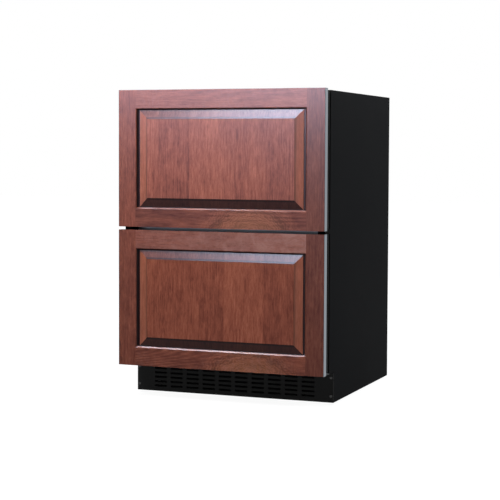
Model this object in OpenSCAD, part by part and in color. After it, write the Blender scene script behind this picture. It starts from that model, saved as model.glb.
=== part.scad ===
// Undercounter refrigerator with two panel-faced drawers in an insulated cabinet.
// The fronts face -Y, +Z is up, the floor is Z = 0 and X = 0 is the middle.
// Every length is in millimetres.

/* [Cabinet] */
// Width of the cabinet shell
cab_w = 583; // [563:1:589]
// Depth of the cabinet shell behind the drawer fronts
cab_d = 562.5; // [545:0.5:620]
// Height of the cabinet shell, underside to top
cab_h = 839; // [836:1:841]
// Thickness of the steel sheet
sheet_t = 1.2; // [0.8:0.1:2]
// Distance from the shell's outside to the inside of the liner, at the sides, top and back
wall_t = 42; // [38:1:46]
// Distance from the toe recess's ceiling to the cabinet's inner floor
floor_t = 42; // [40:1:48]
// Thickness of the plastic liners
liner_t = 2; // [1.5:0.1:2.5]
// Height of the toe recess
toe_h = 83; // [78:1:84]
// Depth of the toe recess from the cabinet's front
toe_d = 39.5; // [30:0.5:50]

/* [Drawer fronts] */
// Width of a drawer front
front_w = 597; // [592:1:610]
// Height of the lower drawer front
front_h = 374; // [340:1:376]
// How far the upper front rises above the cabinet's top
front_rise = 3; // [1:0.5:5]
// Gap between the two drawer fronts
front_gap = 8.5; // [7:0.5:10]
// Height of the lower front's bottom edge above the cabinet's underside
front_lift = 85.5; // [84:0.5:88]
// Thickness of the wood
wood_t = 19; // [17:0.5:22]
// Width of the visible face of a stile or rail
frame_w = 50; // [40:1:60]
// Width of the sloped edge inside the stiles and rails
sticking_w = 4; // [2:0.5:6]
// Depth of that sloped edge
sticking_d = 4.5; // [3:0.5:6]
// Distance from the front's side edge to the raised field
field_x = 84.5; // [78:0.5:95]
// Distance from the front's top or bottom edge to the raised field
field_z = 79.5; // [78:0.5:90]
// Width of the bevel round the raised field
bevel_w = 24; // [15:1:24]
// Thickness of the tongue that the panel carries in its frame
tongue_t = 5.6; // [4:0.1:6]
// Thickness of the steel tray behind the wood
tray_t = 2; // [1:0.1:3]
// Thickness of the tray's side flanges
tray_flange_t = 0.8; // [0.6:0.1:1.5]

/* [Insulated door bodies] */
// Thickness of a door body
door_d = 39; // [32:1:46]
// Distance from a front's top or bottom edge to its door body
body_inset = 4; // [3:0.5:5]
// Distance from the cabinet's side to the door body's side
body_side = 1.5; // [1:0.5:3]
// Width of the door seal
gasket_w = 14; // [12:0.5:15]
// Thickness of the door seal
gasket_t = 6.2; // [5:0.1:8]
// Distance from the door body's edge to the seal
gasket_inset = 8; // [6:0.5:9]
// Clearance between the closed seal and the cabinet
seal_gap = 0.3; // [0.2:0.1:0.5]
// How far the inner door plug reaches into the cabinet
plug_in = 17.5; // [12:0.5:20]

/* [Drawer bins and slides] */
// Clear space between the lower bin's rim and the mullion
lower_bin_clear = 32; // [20:1:90]
// Clear space between the upper bin's rim and the evaporator's cover
upper_bin_clear = 9.5; // [4:0.5:60]
// Thickness of a bin's wall
bin_t = 2.5; // [2:0.1:3.5]
// Clear space between the upper bin and the liner's back
upper_bin_rear = 30; // [25:1:60]
// Clear space between the lower bin and the step in the liner
lower_bin_rear = 10; // [8:1:30]
// Travel of the upper drawer
upper_travel = 440; // [300:5:440]
// Travel of the lower drawer
lower_travel = 268; // [200:4:268]
// Height of a slide's cabinet member
slide_h = 42; // [36:1:46]
// Thickness of a whole slide
slide_w = 12; // [11:0.5:13]
// Thickness of a slide's steel
slide_t = 1.6; // [1.2:0.1:1.8]
// Running clearance between slide members
slide_gap = 0.3; // [0.3:0.05:0.5]

/* [Toe grille] */
// Length of a slot
slot_l = 36.5; // [25:0.5:40]
// Height of a slot
slot_h = 5.8; // [4:0.1:7]
// Spacing of the slot columns
slot_px = 48.75; // [46:0.25:50]
// Spacing of the slot rows
slot_pz = 12.4; // [11:0.1:13]
// Number of slot columns
slot_cols = 10; // [4:1:10]
// Number of slot rows
slot_rows = 5; // [2:1:5]

/* [Machine compartment] */
// Clear height of the compartment
comp_h = 230; // [225:1:240]
// Clear depth of the compartment
comp_d = 205; // [200:1:215]
// Thickness of the insulated step over it
step_t = 40; // [36:1:46]
// Thickness of the base pan
base_t = 1.5; // [1.2:0.1:2]
// Radius of the compressor's casing
compressor_r = 72; // [60:1:76]
// Height of the compressor's casing
compressor_h = 172; // [150:1:175]
// Tip radius of the condenser fan
fan_r = 75; // [60:1:76]
// Number of blades of each fan
fan_blades = 5; // [3:1:7]

/* [Feet] */
// Height of the underside above the floor, and of a foot's pad
foot_gap = 6; // [5:0.5:10]
// Radius of a foot's pad
foot_r = 18; // [14:1:20]
// Radius of a foot's threaded stud
stud_r = 5; // [4:0.5:6]
// Length of a foot's stud above its pad
stud_l = 40; // [38:1:50]
// Running clearance of round sliding and turning parts
run_gap = 0.05; // [0.03:0.01:0.1]

/* [Hidden] */
$fn = 48;
CUT = 1; // how far a cutting solid runs past the face it opens
LOOSE_GAP = 0.3; // clearance of pieces that pass or move with play

// Stations along Y, from the wood's face to the back
stack_d = wood_t + tray_t + door_d + gasket_t + seal_gap;
total_d = stack_d + cab_d;
y_face = -total_d / 2;
y_tray = y_face + wood_t;
y_door = y_tray + tray_t;
y_seal = y_door + door_d;
y_cab = y_face + stack_d;
y_toe = y_cab + toe_d;
y_plug = y_cab + plug_in;
y_back = total_d / 2;

// Levels
z_under = foot_gap;
z_top = z_under + cab_h;
z_toe = z_under + toe_h;
z_pan = z_under + base_t;
front_z = [z_under + front_lift, z_under + front_lift + front_h + front_gap];
front_top = [front_z[0] + front_h, z_top + front_rise];

// Cabinet widths
hw = cab_w / 2;
inner_hw = hw - sheet_t;
in_x = hw - wall_t;
body_hw = hw - body_side;
seal_hw = body_hw - gasket_inset;
SEAL_MARGIN = 2.5; // steel beyond each edge of the seal
seal_in = body_inset + gasket_inset + gasket_w + SEAL_MARGIN;
flange_hw = seal_hw - gasket_w - SEAL_MARGIN;
z_rail = front_z[0] + seal_in;
z_mull = [front_top[0] - seal_in, front_z[1] + seal_in];
z_flange = front_top[1] - seal_in;
MULLION_SIDE = 3.5; // steel left beside the mullion's plate
mull_hw = hw - MULLION_SIDE;
MULLION_D = 40; // depth of the mullion's box
MULLION_EDGE = 3; // its plate stands this far past the box

// Inside of the cabinet: a room with a step at the lower back
in_top = z_top - wall_t;
in_floor = z_toe + floor_t;
in_back = y_back - wall_t;
comp_top = z_pan + comp_h;
comp_front = y_back - sheet_t - comp_d;
step_z = comp_top + step_t;
step_y = comp_front - step_t;

// Evaporator under the ceiling, behind the upper bin's top
EVAP_SIDE = 49.5; // from the liner's side
EVAP_HW = in_x - EVAP_SIDE;
EVAP_H = 53;
EVAP_D = 175;
EVAP_WALL = 2;
ev_z = in_top - EVAP_H;
ev_y = in_back - EVAP_D;
EVAP_FAN_R = 34;
EVAP_FAN_IN = 45; // from the cover's front
EVAP_FAN_Y = ev_y + EVAP_FAN_IN;
EVAP_BLADE_H = 14;
EVAP_HUB_R = 11;
EVAP_COIL_SIDE = 6; // clearances of the coil in its cover
EVAP_COIL_REAR = 16;
EVAP_COIL_TOP = 5;
EVAP_TUBE_R = 5;
EVAP_MOTOR_R = 17;
EVAP_MOTOR_H = 18;

// Drawers: 0 is the lower one, 1 the upper one
PLUG_SIDE = 9.5; // clearance beside the door plug
PLUG_EDGE = 6; // clearance above and below it
plug_hw = in_x - PLUG_SIDE;
plug_z0 = [in_floor + PLUG_EDGE, z_mull[1] + PLUG_EDGE];
plug_z1 = [z_mull[0] - PLUG_EDGE, in_top - PLUG_EDGE];
bin_z = plug_z0;
bin_top = [z_mull[0] - lower_bin_clear, ev_z - upper_bin_clear];
bin_back = [step_y - lower_bin_rear, in_back - upper_bin_rear];
bin_hw = in_x - slide_w;
SLIDE_END = 1.5; // slides stop this far short of the bin's ends
SLIDE_RISE = 60; // their middle lies this far above the bin's underside

// Control housing under the ceiling, just behind the upper door plug
CTRL_HW = 95;
CTRL_H = 28;
CTRL_D = 72;
CTRL_WALL = 2;
CTRL_IN = 8.5; // behind the upper door plug
ctrl_y = y_plug + CTRL_IN;
ctrl_z = in_top - CTRL_H;
BUTTON_R = 5;
BUTTON_X = 48;
BUTTON_OUT = 2;
BUTTON_L = 8;
button_z = ctrl_z + CTRL_H / 2;
LENS_HW = 60;
LENS_D = 30;
LENS_IN = 24; // from the housing's front
lens_y = ctrl_y + LENS_IN;

// Machine compartment
COMPRESSOR_IN = 160.3; // from the right side panel
COMPRESSOR_X = inner_hw - COMPRESSOR_IN;
GROMMET_H = 12.5;
comp_y = comp_front + comp_d / 2;
compressor_z = z_pan + GROMMET_H;
FOOT_PLATE_T = 3;
FOOT_PLATE_X = 90;
FOOT_PLATE_Y = 58;
GROMMET_IN = 14;
GROMMET_NECK = 7;
STUB_R = 4;
STUB_L = 8;
DISCHARGE_UP = 75;
SUCTION_UP = 112;
DISCHARGE_Z = z_pan + DISCHARGE_UP;
SUCTION_Z = z_pan + SUCTION_UP;
FAN_IN = 170.3; // from the left side panel
FAN_UP = 14; // the fan's tips above the base pan
FAN_X = FAN_IN - inner_hw;
FAN_Z = z_pan + fan_r + FAN_UP;
FAN_GAP = 5;
SHROUD_T = 2;
SHROUD_IN = 4; // behind the divider
SHROUD_Y = comp_front + SHROUD_IN;
COLLAR_D = 28;
FAN_BLADE_IN = 5; // behind the shroud's front
FAN_BLADE_Y = SHROUD_Y + FAN_BLADE_IN;
FAN_BLADE_D = 18;
FAN_HUB_R = 20;
FAN_MOTOR_R = 24;
FAN_MOTOR_L = 34;
SHAFT_R = 3;
SHAFT_PAST = 2; // shafts end this far past their hubs
MOTOR_NOSE = 4; // the motor reaches this far past its mounting plane
MOTOR_UP = 6; // its mounting plane behind the collar
fan_motor_y = SHROUD_Y + COLLAR_D + MOTOR_UP;
COIL_SIDE = 58.3; // from the side panels
COIL_HW = inner_hw - COIL_SIDE;
COIL_D = 84;
COIL_H = 66;
COIL_IN = 24; // behind the toe grille
coil_y = y_toe + COIL_IN;
coil_back = coil_y + COIL_D;
END_PLATE = 2;
DRIER_R = 9;
DRIER_L = 90;
TRAY_W = 150;
TRAY_D = 130;
TRAY_H = 24;
TRAY_WALL = 2;
DRAIN_R = 8;
DRAIN_BORE = 6;
DRAIN_DIP = 12;
DRAIN_AHEAD = 20; // in front of the compressor's middle
drain_y = comp_y - DRAIN_AHEAD;
tray_z = compressor_z + compressor_h;
INLET_IN = 60.3; // from the left side panel
INLET_UP = 60;
INLET_X = INLET_IN - inner_hw;
INLET_Z = z_pan + INLET_UP;
INLET_W = 27;
INLET_H = 20;
INLET_D = 22;

// Feet
FOOT_IN = 41; // from the cabinet's side
FRONT_FOOT_IN = 52; // behind the toe grille
REAR_FOOT_IN = 30; // from the cabinet's back
FOOT_X = hw - FOOT_IN;
FOOT_Y = [y_toe + FRONT_FOOT_IN, y_back - REAR_FOOT_IN];
BUSH_WALL = 4;
BUSH_H = 24;

// Toe grille
GRILLE_EDGE = 2; // clearance under the recess's ceiling
GRILLE_LIP = 10;
SCREW_R = 2;
SCREW_HEAD_R = 4;
SCREW_HEAD_H = 1.6;
SCREW_GAP = 0.1;
SCREW_IN = 6.5; // screws from the grille's ends
SCREW_UP = [18, 68]; // screws above the underside
screw_z = [for (up = SCREW_UP) z_under + up];
SLOT_Z = 15; // lowest row above the underside
TOE_FLANGE_W = 20;

// A box between two corners
module block(x0, x1, y0, y1, z0, z1) {
    translate([x0, y0, z0])
        cube([x1 - x0, y1 - y0, z1 - z0]);
}

// A box centred on X = 0
module wide_block(half, y0, y1, z0, z1) {
    block(-half, half, y0, y1, z0, z1);
}

// A side-view outline (Y, Z) run along X
module side_prism(points, x0, x1) {
    translate([x0, 0, 0])
        rotate([90, 0, 90])
            linear_extrude(x1 - x0)
                polygon(points);
}

// A front-view outline (X, Z) run along Y
module front_prism(points, y0, y1) {
    translate([0, y1, 0])
        rotate([90, 0, 0])
            linear_extrude(y1 - y0)
                polygon(points);
}

// A plan-view outline (X, Y) run along Z
module plan_prism(points, z0, z1) {
    translate([0, 0, z0])
        linear_extrude(z1 - z0)
            polygon(points);
}

// A round bar along Y
module bar_y(x, z, y0, y1, r) {
    translate([x, y0, z])
        rotate([-90, 0, 0])
            cylinder(r = r, h = y1 - y0);
}

// A round bar along X
module bar_x(y, z, x0, x1, r) {
    translate([x0, y, z])
        rotate([0, 90, 0])
            cylinder(r = r, h = x1 - x0);
}

// A round pipe through a list of points
module pipe(points, r) {
    for (i = [1:len(points) - 1]) {
        a = points[i - 1];
        b = points[i];
        d = b - a;
        run = norm(d);
        translate(a)
            rotate([0, acos(d[2] / run), atan2(d[1], d[0])])
                cylinder(r = r, h = run);
    }
    for (i = [1:1:len(points) - 2])
        translate(points[i])
            sphere(r = r);
}

// ---- Cabinet ----

// Side view of the room inside, grown by g
function room(y0, g) = [
    [y0, in_floor - g], [step_y + g, in_floor - g], [step_y + g, step_z - g],
    [in_back + g, step_z - g], [in_back + g, in_top + g], [y0, in_top + g]
];

module side_panel(side) {
    outline = [
        [y_cab, z_toe], [y_toe, z_toe], [y_toe, z_under],
        [y_back, z_under], [y_back, z_top - sheet_t], [y_cab, z_top - sheet_t]
    ];
    color([0.1, 0.1, 0.1])
        mirror([side < 0 ? 1 : 0, 0, 0])
            difference() {
                union() {
                    side_prism(outline, inner_hw, hw);
                    block(flange_hw, hw, y_cab, y_cab + sheet_t, z_toe + sheet_t, z_top - sheet_t);
                    block(hw - TOE_FLANGE_W, hw, y_toe, y_toe + sheet_t, z_pan, z_toe);
                }
                block(0, mull_hw, y_cab - CUT, y_cab + sheet_t, z_mull[0], z_mull[1]);
                for (z = screw_z)
                    bar_y(hw - SCREW_IN, z, y_toe - CUT, y_toe + sheet_t + CUT, SCREW_R + SCREW_GAP);
            }
}

module left_side_panel() {
    side_panel(-1);
}

module right_side_panel() {
    side_panel(1);
}

module top_panel() {
    color([0.1, 0.1, 0.1]) {
        wide_block(hw, y_cab, y_back, z_top - sheet_t, z_top);
        wide_block(flange_hw, y_cab, y_cab + sheet_t, z_flange, z_top);
    }
}

module rear_panel() {
    LOUVRE_W = 60;
    LOUVRE_PX = 80;
    LOUVRE_H = 5;
    LOUVRE_PZ = 14;
    LOUVRE_Z = 60; // the lowest row above the base pan
    color([0.35, 0.36, 0.37])
        difference() {
            wide_block(inner_hw, y_back - sheet_t, y_back, z_under, z_top - sheet_t);
            for (column = [-0.5:1:2.5], row = [0:9])
                translate([column * LOUVRE_PX, y_back - sheet_t - CUT, z_pan + LOUVRE_Z + row * LOUVRE_PZ])
                    cube([LOUVRE_W, sheet_t + 2 * CUT, LOUVRE_H]);
            block(INLET_X - INLET_W / 2, INLET_X + INLET_W / 2, y_back - sheet_t - CUT, y_back + CUT,
                INLET_Z, INLET_Z + INLET_H);
        }
}

module base_pan() {
    color([0.3, 0.31, 0.32])
        difference() {
            union() {
                wide_block(inner_hw, y_toe + sheet_t, y_back - sheet_t, z_under, z_pan);
                for (x = [-FOOT_X, FOOT_X], y = FOOT_Y)
                    translate([x, y, z_under])
                        cylinder(r = stud_r + BUSH_WALL, h = BUSH_H);
            }
            for (x = [-FOOT_X, FOOT_X], y = FOOT_Y)
                translate([x, y, z_under - CUT])
                    cylinder(r = stud_r + run_gap, h = BUSH_H + 2 * CUT);
        }
}

// The folded steel sheet between the insulated room and the machinery
module compartment_divider() {
    color([0.25, 0.26, 0.27])
        difference() {
            union() {
                wide_block(flange_hw, y_cab, y_cab + sheet_t, z_toe, z_rail);
                wide_block(inner_hw, y_cab, comp_front, z_toe, z_toe + sheet_t);
                wide_block(inner_hw, comp_front - sheet_t, comp_front, z_toe, comp_top + sheet_t);
                wide_block(inner_hw, comp_front - sheet_t, y_back - sheet_t, comp_top, comp_top + sheet_t);
            }
            translate([COMPRESSOR_X, drain_y, comp_top - CUT])
                cylinder(r = DRAIN_R + LOOSE_GAP, h = sheet_t + 2 * CUT);
        }
}

module mullion() {
    color([0.6, 0.63, 0.65]) {
        wide_block(mull_hw, y_cab, y_cab + sheet_t, z_mull[0], z_mull[1]);
        wide_block(in_x, y_cab, y_cab + MULLION_D, z_mull[0] + MULLION_EDGE, z_mull[1] - MULLION_EDGE);
    }
}

// Black blocks at the mullion's ends that fill the gap between the fronts
module mullion_end_caps() {
    CAP_W = 20.5;
    CAP_EDGE = 1.5;
    CAP_IN = 6; // the caps' fronts behind the door bodies' fronts
    color([0.05, 0.05, 0.05])
        for (side = [0, 1])
            mirror([side, 0, 0])
                block(hw - CAP_W, hw, y_door + CAP_IN, y_cab,
                    front_top[0] - body_inset + CAP_EDGE, front_z[1] + body_inset - CAP_EDGE);
}

module toe_grille() {
    top = z_toe - GRILLE_EDGE;
    start_x = -(slot_cols - 1) / 2 * slot_px - slot_l / 2;
    color([0.08, 0.08, 0.08])
        difference() {
            union() {
                wide_block(hw, y_toe - sheet_t, y_toe, z_under, top);
                wide_block(hw - TOE_FLANGE_W - CUT, y_toe - sheet_t, y_toe + GRILLE_LIP, top - sheet_t, top);
            }
            for (column = [0:slot_cols - 1], row = [0:slot_rows - 1])
                translate([start_x + column * slot_px, y_toe - sheet_t - CUT,
                    z_under + SLOT_Z + row * slot_pz - slot_h / 2])
                    cube([slot_l, sheet_t + 2 * CUT, slot_h]);
            for (x = [-hw + SCREW_IN, hw - SCREW_IN], z = screw_z)
                bar_y(x, z, y_toe - sheet_t - CUT, y_toe + CUT, SCREW_R + SCREW_GAP);
        }
}

module toe_grille_screws() {
    SHANK = 9;
    color([0.06, 0.06, 0.06])
        for (x = [-hw + SCREW_IN, hw - SCREW_IN], z = screw_z) {
            bar_y(x, z, y_toe - sheet_t - SCREW_HEAD_H, y_toe - sheet_t, SCREW_HEAD_R);
            bar_y(x, z, y_toe - sheet_t - SCREW_HEAD_H, y_toe - sheet_t + SHANK, SCREW_R);
        }
}

module drain_hole(z0, z1) {
    translate([COMPRESSOR_X, drain_y, z0])
        cylinder(r = DRAIN_R, h = z1 - z0);
}

module inner_liner() {
    color([0.9, 0.91, 0.92])
        difference() {
            union() {
                side_prism(room(y_cab, liner_t), -in_x - liner_t, in_x + liner_t);
                wide_block(flange_hw, y_cab, y_cab + liner_t, z_rail, z_flange);
            }
            side_prism(room(y_cab - CUT, 0), -in_x, in_x);
            wide_block(mull_hw, y_cab - CUT, y_cab + sheet_t, z_mull[0], z_mull[1]);
            drain_hole(step_z - liner_t - CUT, step_z + CUT);
        }
}

module cabinet_foam() {
    outline = [
        [y_cab + sheet_t, z_toe + sheet_t], [comp_front - sheet_t, z_toe + sheet_t],
        [comp_front - sheet_t, comp_top + sheet_t], [y_back - sheet_t, comp_top + sheet_t],
        [y_back - sheet_t, z_top - sheet_t], [y_cab + sheet_t, z_top - sheet_t]
    ];
    color([0.95, 0.9, 0.7])
        difference() {
            side_prism(outline, -inner_hw, inner_hw);
            side_prism(room(y_cab, liner_t), -in_x - liner_t, in_x + liner_t);
            wide_block(flange_hw, y_cab, y_cab + liner_t, z_rail, z_flange);
            drain_hole(comp_top, step_z);
        }
}

module evaporator_cover() {
    SLOT = 4;
    GUARD_HW = 30;
    GUARD_P = 9;
    VENT_W = 20;
    VENT_PX = 28;
    VENT_PZ = 11;
    VENT_Z = 14;
    color([0.88, 0.89, 0.9])
        difference() {
            wide_block(EVAP_HW, ev_y, in_back, ev_z, in_top);
            wide_block(EVAP_HW - EVAP_WALL, ev_y + EVAP_WALL, in_back + CUT, ev_z + EVAP_WALL, in_top + CUT);
            for (row = [-3:3])
                translate([-GUARD_HW, EVAP_FAN_Y + row * GUARD_P - SLOT / 2, ev_z - CUT])
                    cube([2 * GUARD_HW, SLOT, EVAP_WALL + 2 * CUT]);
            for (column = [-6:6], row = [0:2])
                translate([column * VENT_PX - VENT_W / 2, ev_y - CUT, ev_z + VENT_Z + row * VENT_PZ])
                    cube([VENT_W, EVAP_WALL + 2 * CUT, SLOT]);
        }
}

// A finned tube coil between two end plates
module finned_coil(half, y0, y1, z0, z1, fins, tubes_y, tubes_z, tube_r) {
    FIN = 0.8;
    FIN_IN = 2; // fins inside the end plates' outline
    pitch = 2 * (half - END_PLATE) / (fins + 1);
    for (x = [-half, half - END_PLATE])
        block(x, x + END_PLATE, y0, y1, z0, z1);
    for (i = [1:fins])
        translate([-half + END_PLATE + i * pitch - FIN / 2, y0 + FIN_IN, z0 + FIN_IN])
            cube([FIN, y1 - y0 - 2 * FIN_IN, z1 - z0 - 2 * FIN_IN]);
    for (i = [0:tubes_y - 1], j = [0:tubes_z - 1])
        bar_x(y0 + (i + 0.5) * (y1 - y0) / tubes_y, z0 + (j + 0.5) * (z1 - z0) / tubes_z,
            -half + END_PLATE / 2, half - END_PLATE / 2, tube_r);
}

module evaporator_coil() {
    color([0.75, 0.77, 0.78])
        finned_coil(EVAP_HW - EVAP_WALL - EVAP_COIL_SIDE, EVAP_FAN_Y + EVAP_FAN_R + EVAP_COIL_REAR, in_back,
            ev_z + EVAP_WALL, in_top - EVAP_COIL_TOP, 14, 2, 1, EVAP_TUBE_R);
}

module evaporator_fan_motor() {
    color([0.2, 0.2, 0.2])
        translate([0, EVAP_FAN_Y, in_top - EVAP_MOTOR_H]) {
            cylinder(r = EVAP_MOTOR_R, h = EVAP_MOTOR_H);
            translate([0, 0, -EVAP_BLADE_H - SHAFT_PAST])
                cylinder(r = SHAFT_R, h = EVAP_BLADE_H + SHAFT_PAST + CUT);
        }
}

// A hub and pitched blades, its axis along Z, its bore open at both ends
module fan_wheel(tip_r, hub_r, depth) {
    BLADE_T = 1.6;
    PITCH = 28;
    TIP_GAP = 2;
    blade_w = min((depth - 2 * BLADE_T) / sin(PITCH), hub_r * 2);
    root = hub_r * 0.7;
    difference() {
        union() {
            cylinder(r = hub_r, h = depth);
            for (i = [0:fan_blades - 1])
                rotate([0, 0, i * 360 / fan_blades])
                    translate([root, 0, depth / 2])
                        rotate([PITCH, 0, 0])
                            translate([0, -blade_w / 2, -BLADE_T / 2])
                                cube([tip_r - root - TIP_GAP, blade_w, BLADE_T]);
        }
        translate([0, 0, -CUT])
            cylinder(r = SHAFT_R + run_gap, h = depth + 2 * CUT);
    }
}

module evaporator_fan_blades() {
    color([0.85, 0.86, 0.87])
        translate([0, EVAP_FAN_Y, in_top - EVAP_MOTOR_H - LOOSE_GAP - EVAP_BLADE_H])
            fan_wheel(EVAP_FAN_R, EVAP_HUB_R, EVAP_BLADE_H);
}

module control_housing() {
    WINDOW_HW = 26;
    WINDOW_HH = 7;
    color([0.12, 0.12, 0.13])
        difference() {
            wide_block(CTRL_HW, ctrl_y, ctrl_y + CTRL_D, ctrl_z, in_top);
            wide_block(CTRL_HW - CTRL_WALL, ctrl_y + CTRL_WALL, ctrl_y + CTRL_D - CTRL_WALL,
                ctrl_z + CTRL_WALL, in_top + CUT);
            wide_block(WINDOW_HW, ctrl_y - CUT, ctrl_y + CTRL_WALL / 2,
                button_z - WINDOW_HH, button_z + WINDOW_HH);
            for (x = [-BUTTON_X, BUTTON_X])
                bar_y(x, button_z, ctrl_y - CUT, ctrl_y + CTRL_WALL + CUT, BUTTON_R + LOOSE_GAP);
            wide_block(LENS_HW, lens_y, lens_y + LENS_D, ctrl_z - CUT, ctrl_z + CTRL_WALL + CUT);
        }
}

module light_lens() {
    color([0.98, 0.98, 0.94])
        wide_block(LENS_HW, lens_y, lens_y + LENS_D, ctrl_z, ctrl_z + CTRL_WALL);
}

module control_button(x) {
    color([0.7, 0.71, 0.72])
        bar_y(x, button_z, ctrl_y - BUTTON_OUT, ctrl_y - BUTTON_OUT + BUTTON_L, BUTTON_R);
}

module warmer_button() {
    control_button(-BUTTON_X);
}

module cooler_button() {
    control_button(BUTTON_X);
}

// ---- Machinery ----

module grommet_places() {
    for (x = [-1, 1], y = [-1, 1])
        translate([COMPRESSOR_X + x * (FOOT_PLATE_X - GROMMET_IN),
            comp_y + y * (FOOT_PLATE_Y - GROMMET_IN), z_pan])
            children();
}

// The casing's outline: a drum with rounded ends
module casing(r, h) {
    ROUND = 34;
    STEPS = 6;
    low = [for (i = [0:STEPS]) ROUND * [sin(i * 90 / STEPS), -cos(i * 90 / STEPS)]];
    high = [for (i = [0:STEPS]) ROUND * [cos(i * 90 / STEPS), sin(i * 90 / STEPS)]];
    rotate_extrude()
        polygon(concat(
            [[0, 0]],
            [for (p = low) p + [r - ROUND, ROUND]],
            [for (p = high) p + [r - ROUND, h - ROUND]],
            [[0, h]]
        ));
}

module compressor() {
    BOX_SUNK = 14; // the terminal box's root in the curved casing
    BOX_OUT = 24;
    BOX_HW = 26;
    BOX_Z = 50;
    BOX_H = 50;
    color([0.06, 0.06, 0.07])
        difference() {
            union() {
                translate([COMPRESSOR_X, comp_y, compressor_z])
                    casing(compressor_r, compressor_h);
                block(COMPRESSOR_X - FOOT_PLATE_X, COMPRESSOR_X + FOOT_PLATE_X,
                    comp_y - FOOT_PLATE_Y, comp_y + FOOT_PLATE_Y, compressor_z, compressor_z + FOOT_PLATE_T);
                bar_x(comp_y, DISCHARGE_Z, COMPRESSOR_X - compressor_r - STUB_L, COMPRESSOR_X, STUB_R);
                bar_y(COMPRESSOR_X, SUCTION_Z, comp_y, comp_y + compressor_r + STUB_L, STUB_R);
                block(COMPRESSOR_X + compressor_r - BOX_SUNK, COMPRESSOR_X + compressor_r + BOX_OUT,
                    comp_y - BOX_HW, comp_y + BOX_HW, compressor_z + BOX_Z, compressor_z + BOX_Z + BOX_H);
            }
            grommet_places()
                cylinder(r = GROMMET_NECK + SCREW_GAP, h = 2 * GROMMET_H);
        }
}

module compressor_grommets() {
    GROMMET_R = 11;
    GROMMET_LIP = 3;
    GROMMET_BORE = 3.5;
    color([0.05, 0.05, 0.05])
        grommet_places()
            difference() {
                union() {
                    cylinder(r = GROMMET_R, h = GROMMET_H);
                    cylinder(r = GROMMET_NECK, h = GROMMET_H + FOOT_PLATE_T + GROMMET_LIP);
                    translate([0, 0, GROMMET_H + FOOT_PLATE_T])
                        cylinder(r = GROMMET_R, h = GROMMET_LIP);
                }
                translate([0, 0, -CUT])
                    cylinder(r = GROMMET_BORE, h = 2 * GROMMET_H);
            }
}

module condenser_coil() {
    color([0.2, 0.2, 0.21])
        finned_coil(COIL_HW, coil_y, coil_back, z_pan, z_pan + COIL_H, 18, 3, 2, 4);
}

// The fan's sheet with its round collar, and three arms that carry the motor
module condenser_fan_shroud() {
    ARM = 6;
    PLATE_SIDE = 24;
    PLATE_ABOVE = 20;
    collar_end = SHROUD_Y + COLLAR_D;
    color([0.3, 0.31, 0.32])
        difference() {
            union() {
                difference() {
                    union() {
                        block(FAN_X - fan_r - PLATE_SIDE, FAN_X + fan_r + PLATE_SIDE,
                            SHROUD_Y, SHROUD_Y + SHROUD_T, z_pan, FAN_Z + fan_r + PLATE_ABOVE);
                        bar_y(FAN_X, FAN_Z, SHROUD_Y, collar_end, fan_r + FAN_GAP + SHROUD_T);
                    }
                    bar_y(FAN_X, FAN_Z, SHROUD_Y - CUT, collar_end + CUT, fan_r + FAN_GAP);
                }
                bar_y(FAN_X, FAN_Z, fan_motor_y - MOTOR_NOSE, fan_motor_y + ARM, FAN_MOTOR_R + SHROUD_T);
                for (angle = [90, 210, 330])
                    translate([FAN_X, collar_end - SHROUD_T, FAN_Z])
                        rotate([0, angle, 0])
                            translate([FAN_MOTOR_R + SHROUD_T / 2, 0, -ARM / 2])
                                cube([fan_r + FAN_GAP - FAN_MOTOR_R, ARM, ARM]);
            }
            bar_y(FAN_X, FAN_Z, SHROUD_Y - CUT, fan_motor_y + 2 * ARM, FAN_MOTOR_R);
        }
}

module condenser_fan_motor() {
    color([0.15, 0.15, 0.16]) {
        bar_y(FAN_X, FAN_Z, fan_motor_y - MOTOR_NOSE, fan_motor_y + FAN_MOTOR_L, FAN_MOTOR_R);
        bar_y(FAN_X, FAN_Z, FAN_BLADE_Y - SHAFT_PAST, fan_motor_y, SHAFT_R);
    }
}

module condenser_fan_blades() {
    color([0.1, 0.1, 0.1])
        translate([FAN_X, FAN_BLADE_Y, FAN_Z])
            rotate([-90, 0, 0])
                fan_wheel(fan_r, FAN_HUB_R, FAN_BLADE_D);
}

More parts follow.
